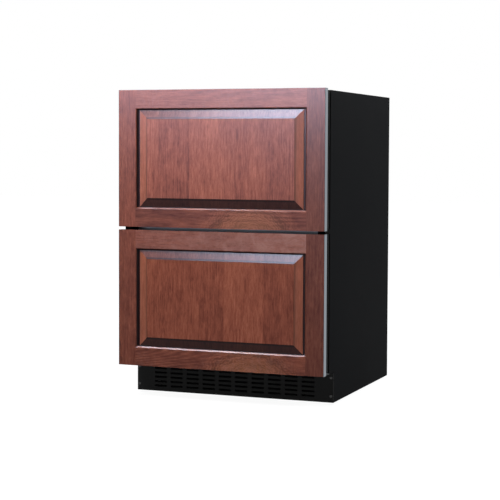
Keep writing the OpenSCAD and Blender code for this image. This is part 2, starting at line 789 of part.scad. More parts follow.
module refrigerant_tubes() {
    HOT_R = 3.5;
    THIN_R = 2.5;
    LOW = 26; // the hot pipe's level above the pan
    COIL_CLEAR = 30;
    RUN_IN = 20;
    SIDE_OUT = 10;
    BEND = 12;
    SUCTION_BEND = 6;
    SUCTION_SHIFT = 40;
    discharge_x = COMPRESSOR_X - compressor_r - STUB_L;
    suction_y = comp_y + compressor_r + STUB_L;
    side_x = COIL_HW + SIDE_OUT;
    hot_z = z_pan + LOW;
    thin_z = z_pan + 2 * LOW;
    clear_y = coil_back + COIL_CLEAR;
    end_y = coil_back - RUN_IN;
    rise_y = clear_y + DRIER_L + RUN_IN;
    color([0.72, 0.45, 0.3]) {
        // Discharge: compressor to the condenser's right end
        pipe([
            [discharge_x, comp_y, DISCHARGE_Z], [discharge_x - BEND, comp_y, DISCHARGE_Z],
            [discharge_x - BEND, comp_y, hot_z], [discharge_x - BEND, clear_y, hot_z],
            [side_x, clear_y, hot_z], [side_x, end_y, hot_z], [COIL_HW, end_y, hot_z]
        ], HOT_R);
        // Liquid line: the condenser's left end, through the drier, up to the foam
        pipe([
            [-COIL_HW, end_y, thin_z], [-side_x, end_y, thin_z],
            [-side_x, rise_y, thin_z], [-side_x, rise_y, z_toe]
        ], THIN_R);
        bar_y(-side_x, thin_z, coil_back + RUN_IN, coil_back + RUN_IN + DRIER_L, DRIER_R);
        // Suction line: down from the foam to the compressor
        pipe([
            [COMPRESSOR_X, suction_y, SUCTION_Z], [COMPRESSOR_X, suction_y + SUCTION_BEND, SUCTION_Z],
            [COMPRESSOR_X - SUCTION_SHIFT, suction_y + SUCTION_BEND, SUCTION_Z],
            [COMPRESSOR_X - SUCTION_SHIFT, suction_y + SUCTION_BEND, comp_top]
        ], HOT_R);
    }
}

// The drain tube and the tray on the compressor that it drips into
module condensate_drain() {
    x0 = COMPRESSOR_X - TRAY_W / 2;
    y0 = comp_y - TRAY_D / 2;
    color([0.8, 0.81, 0.8]) {
        difference() {
            block(x0, x0 + TRAY_W, y0, y0 + TRAY_D, tray_z, tray_z + TRAY_H);
            block(x0 + TRAY_WALL, x0 + TRAY_W - TRAY_WALL, y0 + TRAY_WALL, y0 + TRAY_D - TRAY_WALL,
                tray_z + TRAY_WALL, tray_z + TRAY_H + CUT);
        }
        difference() {
            drain_hole(tray_z + DRAIN_DIP, step_z);
            translate([COMPRESSOR_X, drain_y, tray_z])
                cylinder(r = DRAIN_BORE, h = step_z);
        }
    }
}

module power_inlet() {
    WALL = 3;
    FLANGE = 4;
    FLANGE_T = 2;
    PIN_P = 6;
    PIN_HW = 1;
    PIN_HH = 2.5;
    PIN_IN = 4; // pins end this far inside the mouth
    color([0.05, 0.05, 0.05])
        difference() {
            union() {
                block(INLET_X - INLET_W / 2, INLET_X + INLET_W / 2, y_back - INLET_D, y_back,
                    INLET_Z, INLET_Z + INLET_H);
                block(INLET_X - INLET_W / 2 - FLANGE, INLET_X + INLET_W / 2 + FLANGE,
                    y_back - sheet_t - FLANGE_T, y_back - sheet_t,
                    INLET_Z - FLANGE, INLET_Z + INLET_H + FLANGE);
            }
            difference() {
                block(INLET_X - INLET_W / 2 + WALL, INLET_X + INLET_W / 2 - WALL, y_back - INLET_D + WALL,
                    y_back + CUT, INLET_Z + WALL, INLET_Z + INLET_H - WALL);
                for (pin = [-1:1])
                    block(INLET_X + pin * PIN_P - PIN_HW, INLET_X + pin * PIN_P + PIN_HW,
                        y_back - INLET_D, y_back - PIN_IN,
                        INLET_Z + INLET_H / 2 - PIN_HH, INLET_Z + INLET_H / 2 + PIN_HH);
            }
        }
}

module foot(x, y) {
    color([0.12, 0.12, 0.12])
        translate([x, y, 0]) {
            cylinder(r = foot_r, h = foot_gap);
            cylinder(r = stud_r, h = foot_gap + stud_l);
        }
}

module front_left_foot() {
    foot(-FOOT_X, FOOT_Y[0]);
}

module front_right_foot() {
    foot(FOOT_X, FOOT_Y[0]);
}

module rear_left_foot() {
    foot(-FOOT_X, FOOT_Y[1]);
}

module rear_right_foot() {
    foot(FOOT_X, FOOT_Y[1]);
}

// ---- Slides: each is seen from the front on the right, and mirrored to the left ----

// A channel open towards the bin: its back starts at distance s0 from the liner
module channel(s0, s1, height, opens_in, y0, y1, z) {
    h = height / 2;
    inner = h - slide_t;
    web = opens_in ? [s0, s0 + slide_t] : [s1 - slide_t, s1];
    for (side = [0, 1])
        mirror([side, 0, 0]) {
            block(in_x - web[1], in_x - web[0], y0, y1, z - h, z + h);
            block(in_x - s1, in_x - s0, y0, y1, z + inner, z + h);
            block(in_x - s1, in_x - s0, y0, y1, z - h, z - inner);
        }
}

function slide_y(i) = [y_plug + SLIDE_END, bin_back[i] - SLIDE_END];
middle_h = slide_h - 2 * (slide_t + slide_gap);
inner_h = middle_h - 2 * (slide_t + slide_gap);
WEB_STEP = slide_t + slide_gap;
OUTER_SHORT = 1.5; // the cabinet member's lips stop this far from the bin
MIDDLE_SHORT = 0.5; // and the intermediate member's this far

module cabinet_slide_members() {
    color([0.7, 0.72, 0.74])
        for (i = [0, 1])
            channel(0, slide_w - OUTER_SHORT, slide_h, true,
                slide_y(i)[0], slide_y(i)[1], bin_z[i] + SLIDE_RISE);
}

module intermediate_slides(i) {
    color([0.66, 0.68, 0.7])
        channel(WEB_STEP, slide_w - MIDDLE_SHORT, middle_h, true,
            slide_y(i)[0], slide_y(i)[1], bin_z[i] + SLIDE_RISE);
}

module drawer_slide_members(i) {
    color([0.7, 0.72, 0.74])
        channel(2 * WEB_STEP, slide_w, inner_h, false, slide_y(i)[0], slide_y(i)[1], bin_z[i] + SLIDE_RISE);
}

// ---- Drawers: i is 0 for the lower one and 1 for the upper one ----

wood_hw = front_w / 2 - tray_flange_t;
GROOVE_IN = 10; // how far the panel's groove is cut into its frame
TONGUE_GAP = 2; // room for the panel to move in the groove
TONGUE_Y = 9; // the groove's front below the wood's face
FIELD_DROP = 1; // the field below the frame's face
FIELD_STEP = 1.2; // the small step round the field
BEVEL_LOW = 7; // the bevel's outer edge below the face
PANEL_BACK = 1; // the panel's back in front of the tray

// The four frame pieces before they are cut apart
module frame_blank(z0, z1) {
    open_in = frame_w + sticking_w;
    difference() {
        wide_block(wood_hw, y_face, y_tray, z0, z1);
        wide_block(wood_hw - open_in, y_face - CUT, y_tray + CUT, z0 + open_in, z1 - open_in);
        sticking_cut(z0, z1);
        wide_block(wood_hw - open_in + GROOVE_IN, y_face + TONGUE_Y, y_face + TONGUE_Y + tongue_t,
            z0 + open_in - GROOVE_IN, z1 - open_in + GROOVE_IN);
    }
}

// A wedge-sided opening, wide at the face and narrow at the sticking's depth
module sticking_cut(z0, z1) {
    rise = sticking_w / sticking_d;
    wide = wood_hw - frame_w + CUT * rise;
    narrow = wood_hw - frame_w - sticking_w;
    low = z0 + frame_w;
    high = z1 - frame_w;
    intersection() {
        plan_prism([
            [-wide, y_face - CUT], [wide, y_face - CUT],
            [narrow, y_face + sticking_d], [-narrow, y_face + sticking_d]
        ], z0, z1);
        side_prism([
            [y_face - CUT, low - CUT * rise], [y_face - CUT, high + CUT * rise],
            [y_face + sticking_d, high - sticking_w], [y_face + sticking_d, low + sticking_w]
        ], -wood_hw, wood_hw);
    }
}

module stile(i, side) {
    z0 = front_z[i];
    z1 = front_top[i];
    a = wood_hw - frame_w;
    b = a - sticking_w;
    face = frame_w + sticking_w;
    color([0.48, 0.27, 0.24])
        intersection() {
            frame_blank(z0, z1);
            mirror([side < 0 ? 1 : 0, 0, 0])
                front_prism([
                    [a, z0], [wood_hw, z0], [wood_hw, z1], [a, z1],
                    [a, z1 - frame_w], [b, z1 - face], [b, z0 + face], [a, z0 + frame_w]
                ], y_face, y_tray);
        }
}

module rail(i, top) {
    z0 = front_z[i];
    z1 = front_top[i];
    a = wood_hw - frame_w;
    b = a - sticking_w;
    face = frame_w + sticking_w;
    edge = top ? z1 : z0;
    inward = top ? -1 : 1;
    color([0.44, 0.24, 0.21])
        intersection() {
            frame_blank(z0, z1);
            front_prism([
                [-a, edge], [a, edge], [a, edge + inward * frame_w],
                [b, edge + inward * face], [-b, edge + inward * face], [-a, edge + inward * frame_w]
            ], y_face, y_tray);
        }
}

// Half of the raised panel's section, from its middle outwards: (distance from the edge, depth)
function panel_section(field, open_in) = [
    [field, FIELD_DROP], [field, FIELD_DROP + FIELD_STEP],
    [field - bevel_w, BEVEL_LOW], [field - bevel_w, TONGUE_Y + TONGUE_GAP / 10],
    [open_in - GROOVE_IN + TONGUE_GAP, TONGUE_Y + TONGUE_GAP / 10],
    [open_in - GROOVE_IN + TONGUE_GAP, TONGUE_Y + tongue_t - TONGUE_GAP / 10],
    [open_in + PANEL_BACK, TONGUE_Y + tongue_t - TONGUE_GAP / 10],
    [open_in + PANEL_BACK, wood_t - PANEL_BACK]
];

module raised_panel(i) {
    z0 = front_z[i];
    z1 = front_top[i];
    open_in = frame_w + sticking_w;
    across = panel_section(field_x, open_in);
    along = panel_section(field_z, open_in);
    last = len(across) - 1;
    color([0.5, 0.29, 0.25])
        intersection() {
            plan_prism(concat(
                [for (p = across) [wood_hw - p[0], y_face + p[1]]],
                [for (k = [last:-1:0]) [-wood_hw + across[k][0], y_face + across[k][1]]]
            ), z0, z1);
            side_prism(concat(
                [for (p = along) [y_face + p[1], z1 - p[0]]],
                [for (k = [last:-1:0]) [y_face + along[k][1], z0 + along[k][0]]]
            ), -wood_hw, wood_hw);
        }
}

module front_tray(i) {
    z0 = front_z[i];
    z1 = front_top[i];
    color([0.62, 0.66, 0.69])
        difference() {
            wide_block(front_w / 2, y_face, y_door, z0, z1);
            wide_block(wood_hw, y_face - CUT, y_tray, z0 - CUT, z1 + CUT);
        }
}

function body_z(i) = [front_z[i] + body_inset, front_top[i] - body_inset];

module door_shell(i) {
    z = body_z(i);
    color([0.06, 0.06, 0.06])
        difference() {
            wide_block(body_hw, y_door, y_seal - liner_t, z[0], z[1]);
            wide_block(body_hw - sheet_t, y_door + sheet_t, y_seal, z[0] + sheet_t, z[1] - sheet_t);
        }
}

module door_foam(i) {
    z = body_z(i);
    color([0.95, 0.9, 0.7]) {
        wide_block(body_hw - sheet_t, y_door + sheet_t, y_seal - liner_t, z[0] + sheet_t, z[1] - sheet_t);
        wide_block(plug_hw - liner_t, y_door + sheet_t, y_plug - liner_t,
            plug_z0[i] + liner_t, plug_z1[i] - liner_t);
    }
}

module door_liner(i) {
    z = body_z(i);
    color([0.9, 0.91, 0.92])
        difference() {
            union() {
                wide_block(body_hw, y_seal - liner_t, y_seal, z[0], z[1]);
                wide_block(plug_hw, y_seal - liner_t, y_plug, plug_z0[i], plug_z1[i]);
            }
            wide_block(plug_hw - liner_t, y_seal - liner_t - CUT, y_plug - liner_t,
                plug_z0[i] + liner_t, plug_z1[i] - liner_t);
        }
}

module gasket(i) {
    z = body_z(i);
    color([0.12, 0.12, 0.12])
        difference() {
            wide_block(seal_hw, y_seal, y_seal + gasket_t, z[0] + gasket_inset, z[1] - gasket_inset);
            wide_block(seal_hw - gasket_w, y_seal - CUT, y_seal + gasket_t + CUT,
                z[0] + gasket_inset + gasket_w, z[1] - gasket_inset - gasket_w);
        }
}

module bin(i) {
    z1 = bin_top[i];
    RIM = 1; // the rim's overhang into the bin
    color([0.85, 0.87, 0.88])
        difference() {
            wide_block(bin_hw, y_plug, bin_back[i], bin_z[i], z1);
            wide_block(bin_hw - bin_t, y_plug + bin_t, bin_back[i] - bin_t, bin_z[i] + bin_t, z1 - 2 * bin_t);
            wide_block(bin_hw - bin_t - RIM, y_plug + bin_t + RIM, bin_back[i] - bin_t - RIM,
                z1 - 3 * bin_t, z1 + CUT);
        }
}

module upper_left_stile() {
    stile(1, -1);
}

module upper_right_stile() {
    stile(1, 1);
}

module upper_top_rail() {
    rail(1, true);
}

module upper_bottom_rail() {
    rail(1, false);
}

module lower_left_stile() {
    stile(0, -1);
}

module lower_right_stile() {
    stile(0, 1);
}

module lower_top_rail() {
    rail(0, true);
}

module lower_bottom_rail() {
    rail(0, false);
}

module upper_raised_panel() {
    raised_panel(1);
}

module upper_front_tray() {
    front_tray(1);
}

module upper_door_shell() {
    door_shell(1);
}

module upper_door_foam() {
    door_foam(1);
}

module upper_door_liner() {
    door_liner(1);
}

module upper_gasket() {
    gasket(1);
}

module upper_bin() {
    bin(1);
}

module upper_drawer_slide_members() {
    drawer_slide_members(1);
}

module upper_intermediate_slides() {
    intermediate_slides(1);
}

module lower_raised_panel() {
    raised_panel(0);
}

module lower_front_tray() {
    front_tray(0);
}

module lower_door_shell() {
    door_shell(0);
}

module lower_door_foam() {
    door_foam(0);
}

module lower_door_liner() {
    door_liner(0);
}

module lower_gasket() {
    gasket(0);
}

module lower_bin() {
    bin(0);
}

module lower_drawer_slide_members() {
    drawer_slide_members(0);
}

module lower_intermediate_slides() {
    intermediate_slides(0);
}

left_side_panel();
right_side_panel();
top_panel();
rear_panel();
base_pan();
compartment_divider();
mullion();
mullion_end_caps();
toe_grille();
toe_grille_screws();
inner_liner();
cabinet_foam();
cabinet_slide_members();
evaporator_cover();
evaporator_coil();
evaporator_fan_motor();
evaporator_fan_blades();
control_housing();
light_lens();
warmer_button();
cooler_button();
compressor();
compressor_grommets();
condenser_coil();
condenser_fan_shroud();
condenser_fan_motor();
condenser_fan_blades();
refrigerant_tubes();
condensate_drain();
power_inlet();
front_left_foot();
front_right_foot();
rear_left_foot();
rear_right_foot();
upper_left_stile();
upper_right_stile();
upper_top_rail();
upper_bottom_rail();
upper_raised_panel();
upper_front_tray();
upper_door_shell();
upper_door_foam();
upper_door_liner();
upper_gasket();
upper_bin();
upper_drawer_slide_members();
upper_intermediate_slides();
lower_left_stile();
lower_right_stile();
lower_top_rail();
lower_bottom_rail();
lower_raised_panel();
lower_front_tray();
lower_door_shell();
lower_door_foam();
lower_door_liner();
lower_gasket();
lower_bin();
lower_drawer_slide_members();
lower_intermediate_slides();
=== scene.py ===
"""Undercounter refrigerator with two wood-faced drawers, dressed over its CAD frame."""

import math

import bmesh
import bpy
from mathutils import Matrix, Vector


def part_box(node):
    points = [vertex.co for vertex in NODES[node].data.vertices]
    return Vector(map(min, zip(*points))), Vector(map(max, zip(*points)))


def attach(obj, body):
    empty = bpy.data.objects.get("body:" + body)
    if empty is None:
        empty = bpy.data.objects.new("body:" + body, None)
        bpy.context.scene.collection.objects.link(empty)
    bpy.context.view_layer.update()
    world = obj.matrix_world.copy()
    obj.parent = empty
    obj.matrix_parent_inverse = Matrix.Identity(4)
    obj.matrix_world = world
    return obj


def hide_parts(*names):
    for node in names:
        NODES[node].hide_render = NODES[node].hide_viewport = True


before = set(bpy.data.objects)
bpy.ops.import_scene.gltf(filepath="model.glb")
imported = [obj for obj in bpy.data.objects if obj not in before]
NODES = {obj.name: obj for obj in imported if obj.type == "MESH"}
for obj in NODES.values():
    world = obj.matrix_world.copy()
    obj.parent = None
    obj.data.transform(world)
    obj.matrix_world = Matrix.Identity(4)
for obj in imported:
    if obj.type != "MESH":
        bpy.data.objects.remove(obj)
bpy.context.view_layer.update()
MM = 0.001
DRAWERS = ("upper", "lower")


# ----------------------------------------------------------------- node trees


class Graph:
    """A node tree with short calls that add and link its nodes."""

    def __init__(self, tree):
        self.tree = tree
        tree.nodes.clear()

    def node(self, kind, **settings):
        made = self.tree.nodes.new(kind)
        for key, value in settings.items():
            setattr(made, key, value)
        return made

    def link(self, source, target):
        self.tree.links.new(source, target)

    def feed(self, value, socket):
        """Links a socket, or sets a plain value."""
        if isinstance(value, bpy.types.NodeSocket):
            self.link(value, socket)
        else:
            socket.default_value = value

    def position(self):
        """The piece's own coordinates in metres."""
        return self.node("ShaderNodeTexCoord").outputs["Object"]

    def place(self, scale=(1, 1, 1), offset=(0, 0, 0)):
        """The piece's own coordinates, scaled and moved."""
        mapping = self.node("ShaderNodeMapping")
        mapping.inputs["Location"].default_value = offset
        mapping.inputs["Scale"].default_value = scale
        self.link(self.position(), mapping.inputs["Vector"])
        return mapping.outputs[0]

    def axes(self, vector):
        """The x, y and z of a vector."""
        split = self.node("ShaderNodeSeparateXYZ")
        self.link(vector, split.inputs[0])
        return split.outputs

    def normal(self):
        """The x, y and z of the surface's normal."""
        return self.axes(self.node("ShaderNodeNewGeometry").outputs["Normal"])

    def noise(self, vector, scale=1.0, detail=2.0, rough=0.5, distortion=0.0):
        made = self.node("ShaderNodeTexNoise")
        self.link(vector, made.inputs["Vector"])
        made.inputs["Scale"].default_value = scale
        made.inputs["Detail"].default_value = detail
        made.inputs["Roughness"].default_value = rough
        made.inputs["Distortion"].default_value = distortion
        return made.outputs[0]

    def math(self, operation, a, b=0.0):
        made = self.node("ShaderNodeMath", operation=operation)
        self.feed(a, made.inputs[0])
        self.feed(b, made.inputs[1])
        return made.outputs[0]

    def vector(self, operation, *values):
        made = self.node("ShaderNodeVectorMath", operation=operation)
        for value, socket in zip(values, made.inputs):
            self.feed(value, socket)
        return made.outputs["Value" if operation == "LENGTH" else "Vector"]

    def swing(self, value, weight):
        """value about its middle of 0.5, times weight."""
        return self.math("MULTIPLY", self.math("SUBTRACT", value, 0.5), weight)

    def span(self, value, low, high, to_low=0.0, to_high=1.0, smooth=True):
        """value from low..high to to_low..to_high, clamped."""
        made = self.node("ShaderNodeMapRange")
        made.interpolation_type = "SMOOTHSTEP" if smooth else "LINEAR"
        self.feed(value, made.inputs["Value"])
        made.inputs["From Min"].default_value = low
        made.inputs["From Max"].default_value = high
        made.inputs["To Min"].default_value = to_low
        made.inputs["To Max"].default_value = to_high
        return made.outputs[0]

    def mix(self, factor, a, b):
        made = self.node("ShaderNodeMix", data_type="RGBA")
        self.feed(factor, made.inputs["Factor"])
        self.feed(a, made.inputs[6])
        self.feed(b, made.inputs[7])
        return made.outputs[2]

    def ramp(self, factor, stops, mode="LINEAR"):
        made = self.node("ShaderNodeValToRGB")
        made.color_ramp.interpolation = mode
        elements = made.color_ramp.elements
        while len(elements) > 1:
            elements.remove(elements[-1])
        for i, (at, colour) in enumerate(stops):
            stop = elements[0] if i == 0 else elements.new(at)
            stop.position = at
            stop.color = colour
        self.link(factor, made.inputs[0])
        return made.outputs[0]

    def glow(self, kind, colour, strength):
        """An emission or background shader."""
        made = self.node(kind)
        made.inputs["Color"].default_value = colour
        self.feed(strength, made.inputs["Strength"])
        return made.outputs[0]

    def join(self, kind, *sources):
        """A shader node with its sockets linked in order."""
        made = self.node(kind)
        for source, socket in zip(sources, made.inputs):
            self.link(source, socket)
        return made.outputs[0]

    def seen(self):
        """1 for rays of the camera and of reflections and refractions, 0 for the rest."""
        path = self.node("ShaderNodeLightPath")
        total = path.outputs["Is Camera Ray"]
        for name in ("Is Glossy Ray", "Is Transmission Ray"):
            total = self.math("MAXIMUM", total, path.outputs[name])
        return total


class Surface(Graph):
    """A material round one Principled shader."""

    def __init__(self, name):
        self.mat = bpy.data.materials.new(name)
        self.mat.use_nodes = True
        super().__init__(self.mat.node_tree)
        self.out = self.node("ShaderNodeOutputMaterial")
        self.bsdf = self.node("ShaderNodeBsdfPrincipled")
        self.link(self.bsdf.outputs[0], self.out.inputs[0])

    def set(self, **values):
        for name, value in values.items():
            self.feed(value, self.bsdf.inputs[name.replace("_", " ")])

    def bump(self, height, strength, distance):
        made = self.node("ShaderNodeBump")
        made.inputs["Strength"].default_value = strength
        made.inputs["Distance"].default_value = distance
        self.link(height, made.inputs["Height"])
        self.link(made.outputs[0], self.bsdf.inputs["Normal"])


# ----------------------------------------------------------------- materials


def rgb(r, g, b):
    """A colour from its 8-bit values."""

    def linear(v):
        v /= 255
        return v / 12.92 if v <= 0.04045 else ((v + 0.055) / 1.055) ** 2.4

    return (linear(r), linear(g), linear(b), 1.0)


def grey(value):
    return (value, value, value, 1.0)


def toned(colour, factor):
    return tuple(min(1.0, channel * factor) for channel in colour[:3]) + (1.0,)


def plastic(name, colour, rough=0.4, speckle=0.06, grain=900, bump=0.05, specular=0.5):
    """Moulded plastic. speckle is how far its tone varies, grain the scale of its texture."""
    g = Surface(name)
    fine = g.noise(g.place(), scale=grain, detail=3)
    broad = g.noise(g.place(), scale=9, detail=3)
    tone = g.math("ADD", g.math("MULTIPLY", fine, speckle), g.math("MULTIPLY", broad, speckle))
    shade = g.node("ShaderNodeHueSaturation")
    shade.inputs["Color"].default_value = colour
    value = g.span(tone, 0, 2 * speckle, 1 - speckle, 1 + speckle, smooth=False)
    g.link(value, shade.inputs["Value"])
    g.set(
        Base_Color=shade.outputs[0],
        Roughness=g.span(broad, 0.2, 0.8, rough - 0.04, rough + 0.04),
        Specular_IOR_Level=specular,
    )
    g.bump(fine, bump, 0.3 * MM)
    return g.mat


def brush_lines(g, axis):
    """Fine lines that run along an axis."""
    stretch = [900.0] * 3
    stretch[axis] = 12.0
    return g.noise(g.place(stretch), detail=3, rough=0.7)


def metal(name, colour, rough=0.3, brushed=None):
    """Bare metal. brushed is the axis that its fine lines run along."""
    g = Surface(name)
    if brushed is None:
        lines = g.noise(g.place(), scale=160, detail=4)
    else:
        lines = brush_lines(g, brushed)
    g.set(
        Base_Color=g.ramp(lines, [(0.3, toned(colour, 0.92)), (0.7, toned(colour, 1.08))]),
        Metallic=1.0,
        Roughness=g.span(lines, 0.2, 0.8, rough - 0.06, rough + 0.08),
    )
    g.bump(lines, 0.04, 0.2 * MM)
    return g.mat


def sheet_steel(name, colour, painted_shade_edge):
    """Satin sheet with a dull cut edge, which is the face that looks forward, painted dark as
    shade.
    """
    g = Surface(name)
    lines = brush_lines(g, 2)
    # The face that looks forward is painted dark, as shade
    edge = g.span(g.normal()[1], -0.9, -0.4, 1.0, 0.0)
    sheet = g.ramp(lines, [(0.3, toned(colour, 0.9)), (0.7, toned(colour, 1.1))])
    g.set(
        Base_Color=g.mix(edge, sheet, painted_shade_edge),
        Roughness=g.span(edge, 0, 1, 0.36, 0.7),
        Metallic=1.0,
    )
    g.bump(lines, 0.04, 0.2 * MM)
    return g.mat


def galvanised(name, dark, light):
    """Zinc in small crystals."""
    g = Surface(name)
    cells = g.node("ShaderNodeTexVoronoi", feature="F1")
    g.link(g.place(), cells.inputs["Vector"])
    cells.inputs["Scale"].default_value = 150
    tint = g.node("ShaderNodeSeparateColor")
    g.link(cells.outputs["Color"], tint.inputs[0])
    g.set(
        Base_Color=g.ramp(tint.outputs[0], [(0, dark), (1, light)]),
        Metallic=1.0,
        Roughness=g.span(tint.outputs[1], 0, 1, 0.42, 0.5),
    )
    return g.mat


def paint(name, colour, rough=0.42, specular=0.3, bump=0.10):
    """Black enamel with a slight orange peel."""
    g = Surface(name)
    peel = g.noise(g.place(), scale=420, detail=2)
    broad = g.noise(g.place(), scale=5, detail=3)
    g.set(
        Base_Color=g.ramp(broad, [(0.3, colour), (0.75, toned(colour, 1.25))]),
        Roughness=g.span(broad, 0.2, 0.8, rough - 0.03, rough + 0.05),
        Specular_IOR_Level=specular,
    )
    g.bump(peel, bump, 0.25 * MM)
    return g.mat


def liner_painted_shade_rim(name, flange_y):
    """White plastic, whose flange has a rim painted near black as shade."""
    g = Surface(name)
    looks_back = g.span(g.normal()[1], 0.80, 0.97)
    behind_flange = g.span(g.axes(g.position())[1], flange_y + 2.3 * MM, flange_y + 2.6 * MM)
    broad = g.noise(g.place(), scale=9, detail=3)
    white = g.ramp(broad, [(0.3, rgb(211, 214, 216)), (0.7, rgb(217, 220, 222))])
    g.set(
        # Painted shade: near black on the faces that look back and behind the flange
        Base_Color=g.mix(g.math("MAXIMUM", looks_back, behind_flange), grey(0.003), white),
        Roughness=g.span(broad, 0.2, 0.8, 0.40, 0.46),
        Specular_IOR_Level=0.1,
    )
    return g.mat


black_paint = paint("black_paint", (0.0066, 0.0069, 0.0076, 1.0), rough=0.5, specular=0.003)
grille_paint = paint("grille_paint", grey(0.017), rough=0.5, specular=0.08)
compressor_black = paint("compressor_black", grey(0.006), rough=0.2, specular=0.5, bump=0.05)
coil_black = paint("coil_black", grey(0.009), rough=0.45, specular=0.12)

black_trim = plastic("black_trim", grey(0.003), rough=0.55, specular=0.004)
black_gloss = plastic("black_gloss", grey(0.006), rough=0.12, bump=0.0, speckle=0.02)
white_liner = plastic(
    "white_liner", rgb(214, 217, 219), rough=0.42, speckle=0.015, bump=0.03, specular=0.2
)
bin_plastic = plastic(
    "bin_grey", rgb(196, 202, 206), rough=0.4, speckle=0.015, bump=0.02, specular=0.2
)
button_grey = plastic("button_grey", rgb(168, 171, 173), rough=0.4)
lens_opal = plastic("lens_opal", rgb(236, 238, 232), rough=0.25, speckle=0.01, bump=0.0)
rubber = plastic("rubber", grey(0.018), rough=0.7, bump=0.12, specular=0.25)
gasket_grey = plastic("gasket_grey", rgb(62, 63, 65), rough=0.62, bump=0.1, specular=0.3)
foam_cream = plastic(
    "foam_cream", rgb(222, 205, 160), rough=0.9, speckle=0.1, grain=300, bump=0.4
)
door_liner_white = liner_painted_shade_rim("door_liner_white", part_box("upper_door_liner")[0].y)

# Its forward edge is painted dark, as shade
satin_steel = sheet_steel("satin_steel", rgb(112, 120, 128), painted_shade_edge=(0.02, 0.012, 0.012, 1.0))
plate_steel = metal("plate_steel", rgb(112, 119, 126), rough=0.36, brushed=0)
slide_zinc = metal("slide_zinc", rgb(180, 183, 186), rough=0.28, brushed=1)
zinc_sheet = galvanised("zinc_sheet", rgb(156, 160, 163), rgb(172, 176, 179))
coil_aluminium = metal("coil_aluminium", rgb(200, 203, 206), rough=0.3)
copper = metal("copper", rgb(196, 122, 84), rough=0.25)


# ---------------------------------------------------------------------- wood

# The grain's axis in a rail, and in a stile or a panel
SIDEWAYS, UPRIGHT = 0, 2
FACE_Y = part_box("upper_left_stile")[0].y
# The middle colour of the stain, then what stays in pores, and then dark glazing with painted
# shade in grooves, in the step round a raised field and on its bevels that look up or down
STAIN = (0.300, 0.080, 0.045)
PORE = (0.050, 0.014, 0.012, 1.0)
GLAZE_SHADE = (0.012, 0.004, 0.006, 1.0)
# The painted light on the panels' side bevels, the pale figure round a rail's knot, and the
# pale figure across its grain, which also carries the painted sheen that pales a rail towards +X
BEVEL = (0.600, 0.220, 0.130, 1.0)
KNOT = (0.500, 0.205, 0.100, 1.0)
CURL_SHEEN = (0.420, 0.200, 0.165, 1.0)
# Place on the ramp, strength of the stain, and how far green and blue follow it
TONES = ((0.10, 0.42, 0.80), (0.50, 1.00, 1.00), (0.92, 1.62, 1.14))
# How far the noise is moved for a board that is one whole tint lighter
BOARD_JUMP = (23.0, 17.0, 31.0)


def feathered(g, knot, shift):
    """Figure that curves round a knot: what it adds to the tone, and the distance from it."""
    away = g.vector("SUBTRACT", g.position(), (knot[0], 0, knot[1]))
    reach = g.vector("LENGTH", g.vector("MULTIPLY", away, (0.62, 0, 1.0)))
    uneven = g.noise(g.place((38, 38, 38), shift), detail=3, rough=0.6)
    radius = g.math("ADD", reach, g.swing(uneven, 0.035))
    fine = g.span(g.math("PINGPONG", g.math("MULTIPLY", radius, 330), 1.0), 0.15, 0.85)
    coarse = g.span(g.math("PINGPONG", g.math("MULTIPLY", radius, 62), 1.0), 0.1, 0.9)
    near = g.span(reach, 0.050, 0.105, 1.0, 0.0)
    both = g.math("ADD", g.swing(fine, 0.46), g.swing(coarse, 0.36))
    return g.math("MULTIPLY", both, near), reach


def glaze_shade_panel(g, colour, y):
    """Dark glazing and painted shade in the step round the raised field, painted shade on the
    bevels that look down and, more lightly, on those that look up, and painted light on the
    bevels at the sides."""
    # Dark glazing and painted shade in the step round the raised field
    step_glaze_shade = g.math(
        "MULTIPLY",
        g.span(y, FACE_Y + 1.05 * MM, FACE_Y + 1.5 * MM),
        g.span(y, FACE_Y + 3.0 * MM, FACE_Y + 3.4 * MM, 0.66, 0.0),
    )
    colour = g.mix(step_glaze_shade, colour, GLAZE_SHADE)
    facing = g.normal()
    # Painted shade on the bevels that look down
    colour = g.mix(g.span(facing[2], -0.16, -0.08, 0.88, 0.0), colour, GLAZE_SHADE)
    # Painted light on the bevels that look to either side
    colour = g.mix(g.span(g.math("ABSOLUTE", facing[0]), 0.08, 0.16, 0.0, 0.27), colour, BEVEL)
    # Painted shade, lighter, on the bevels that look up
    return g.mix(g.span(facing[2], 0.08, 0.16, 0.0, 0.42), colour, GLAZE_SHADE)


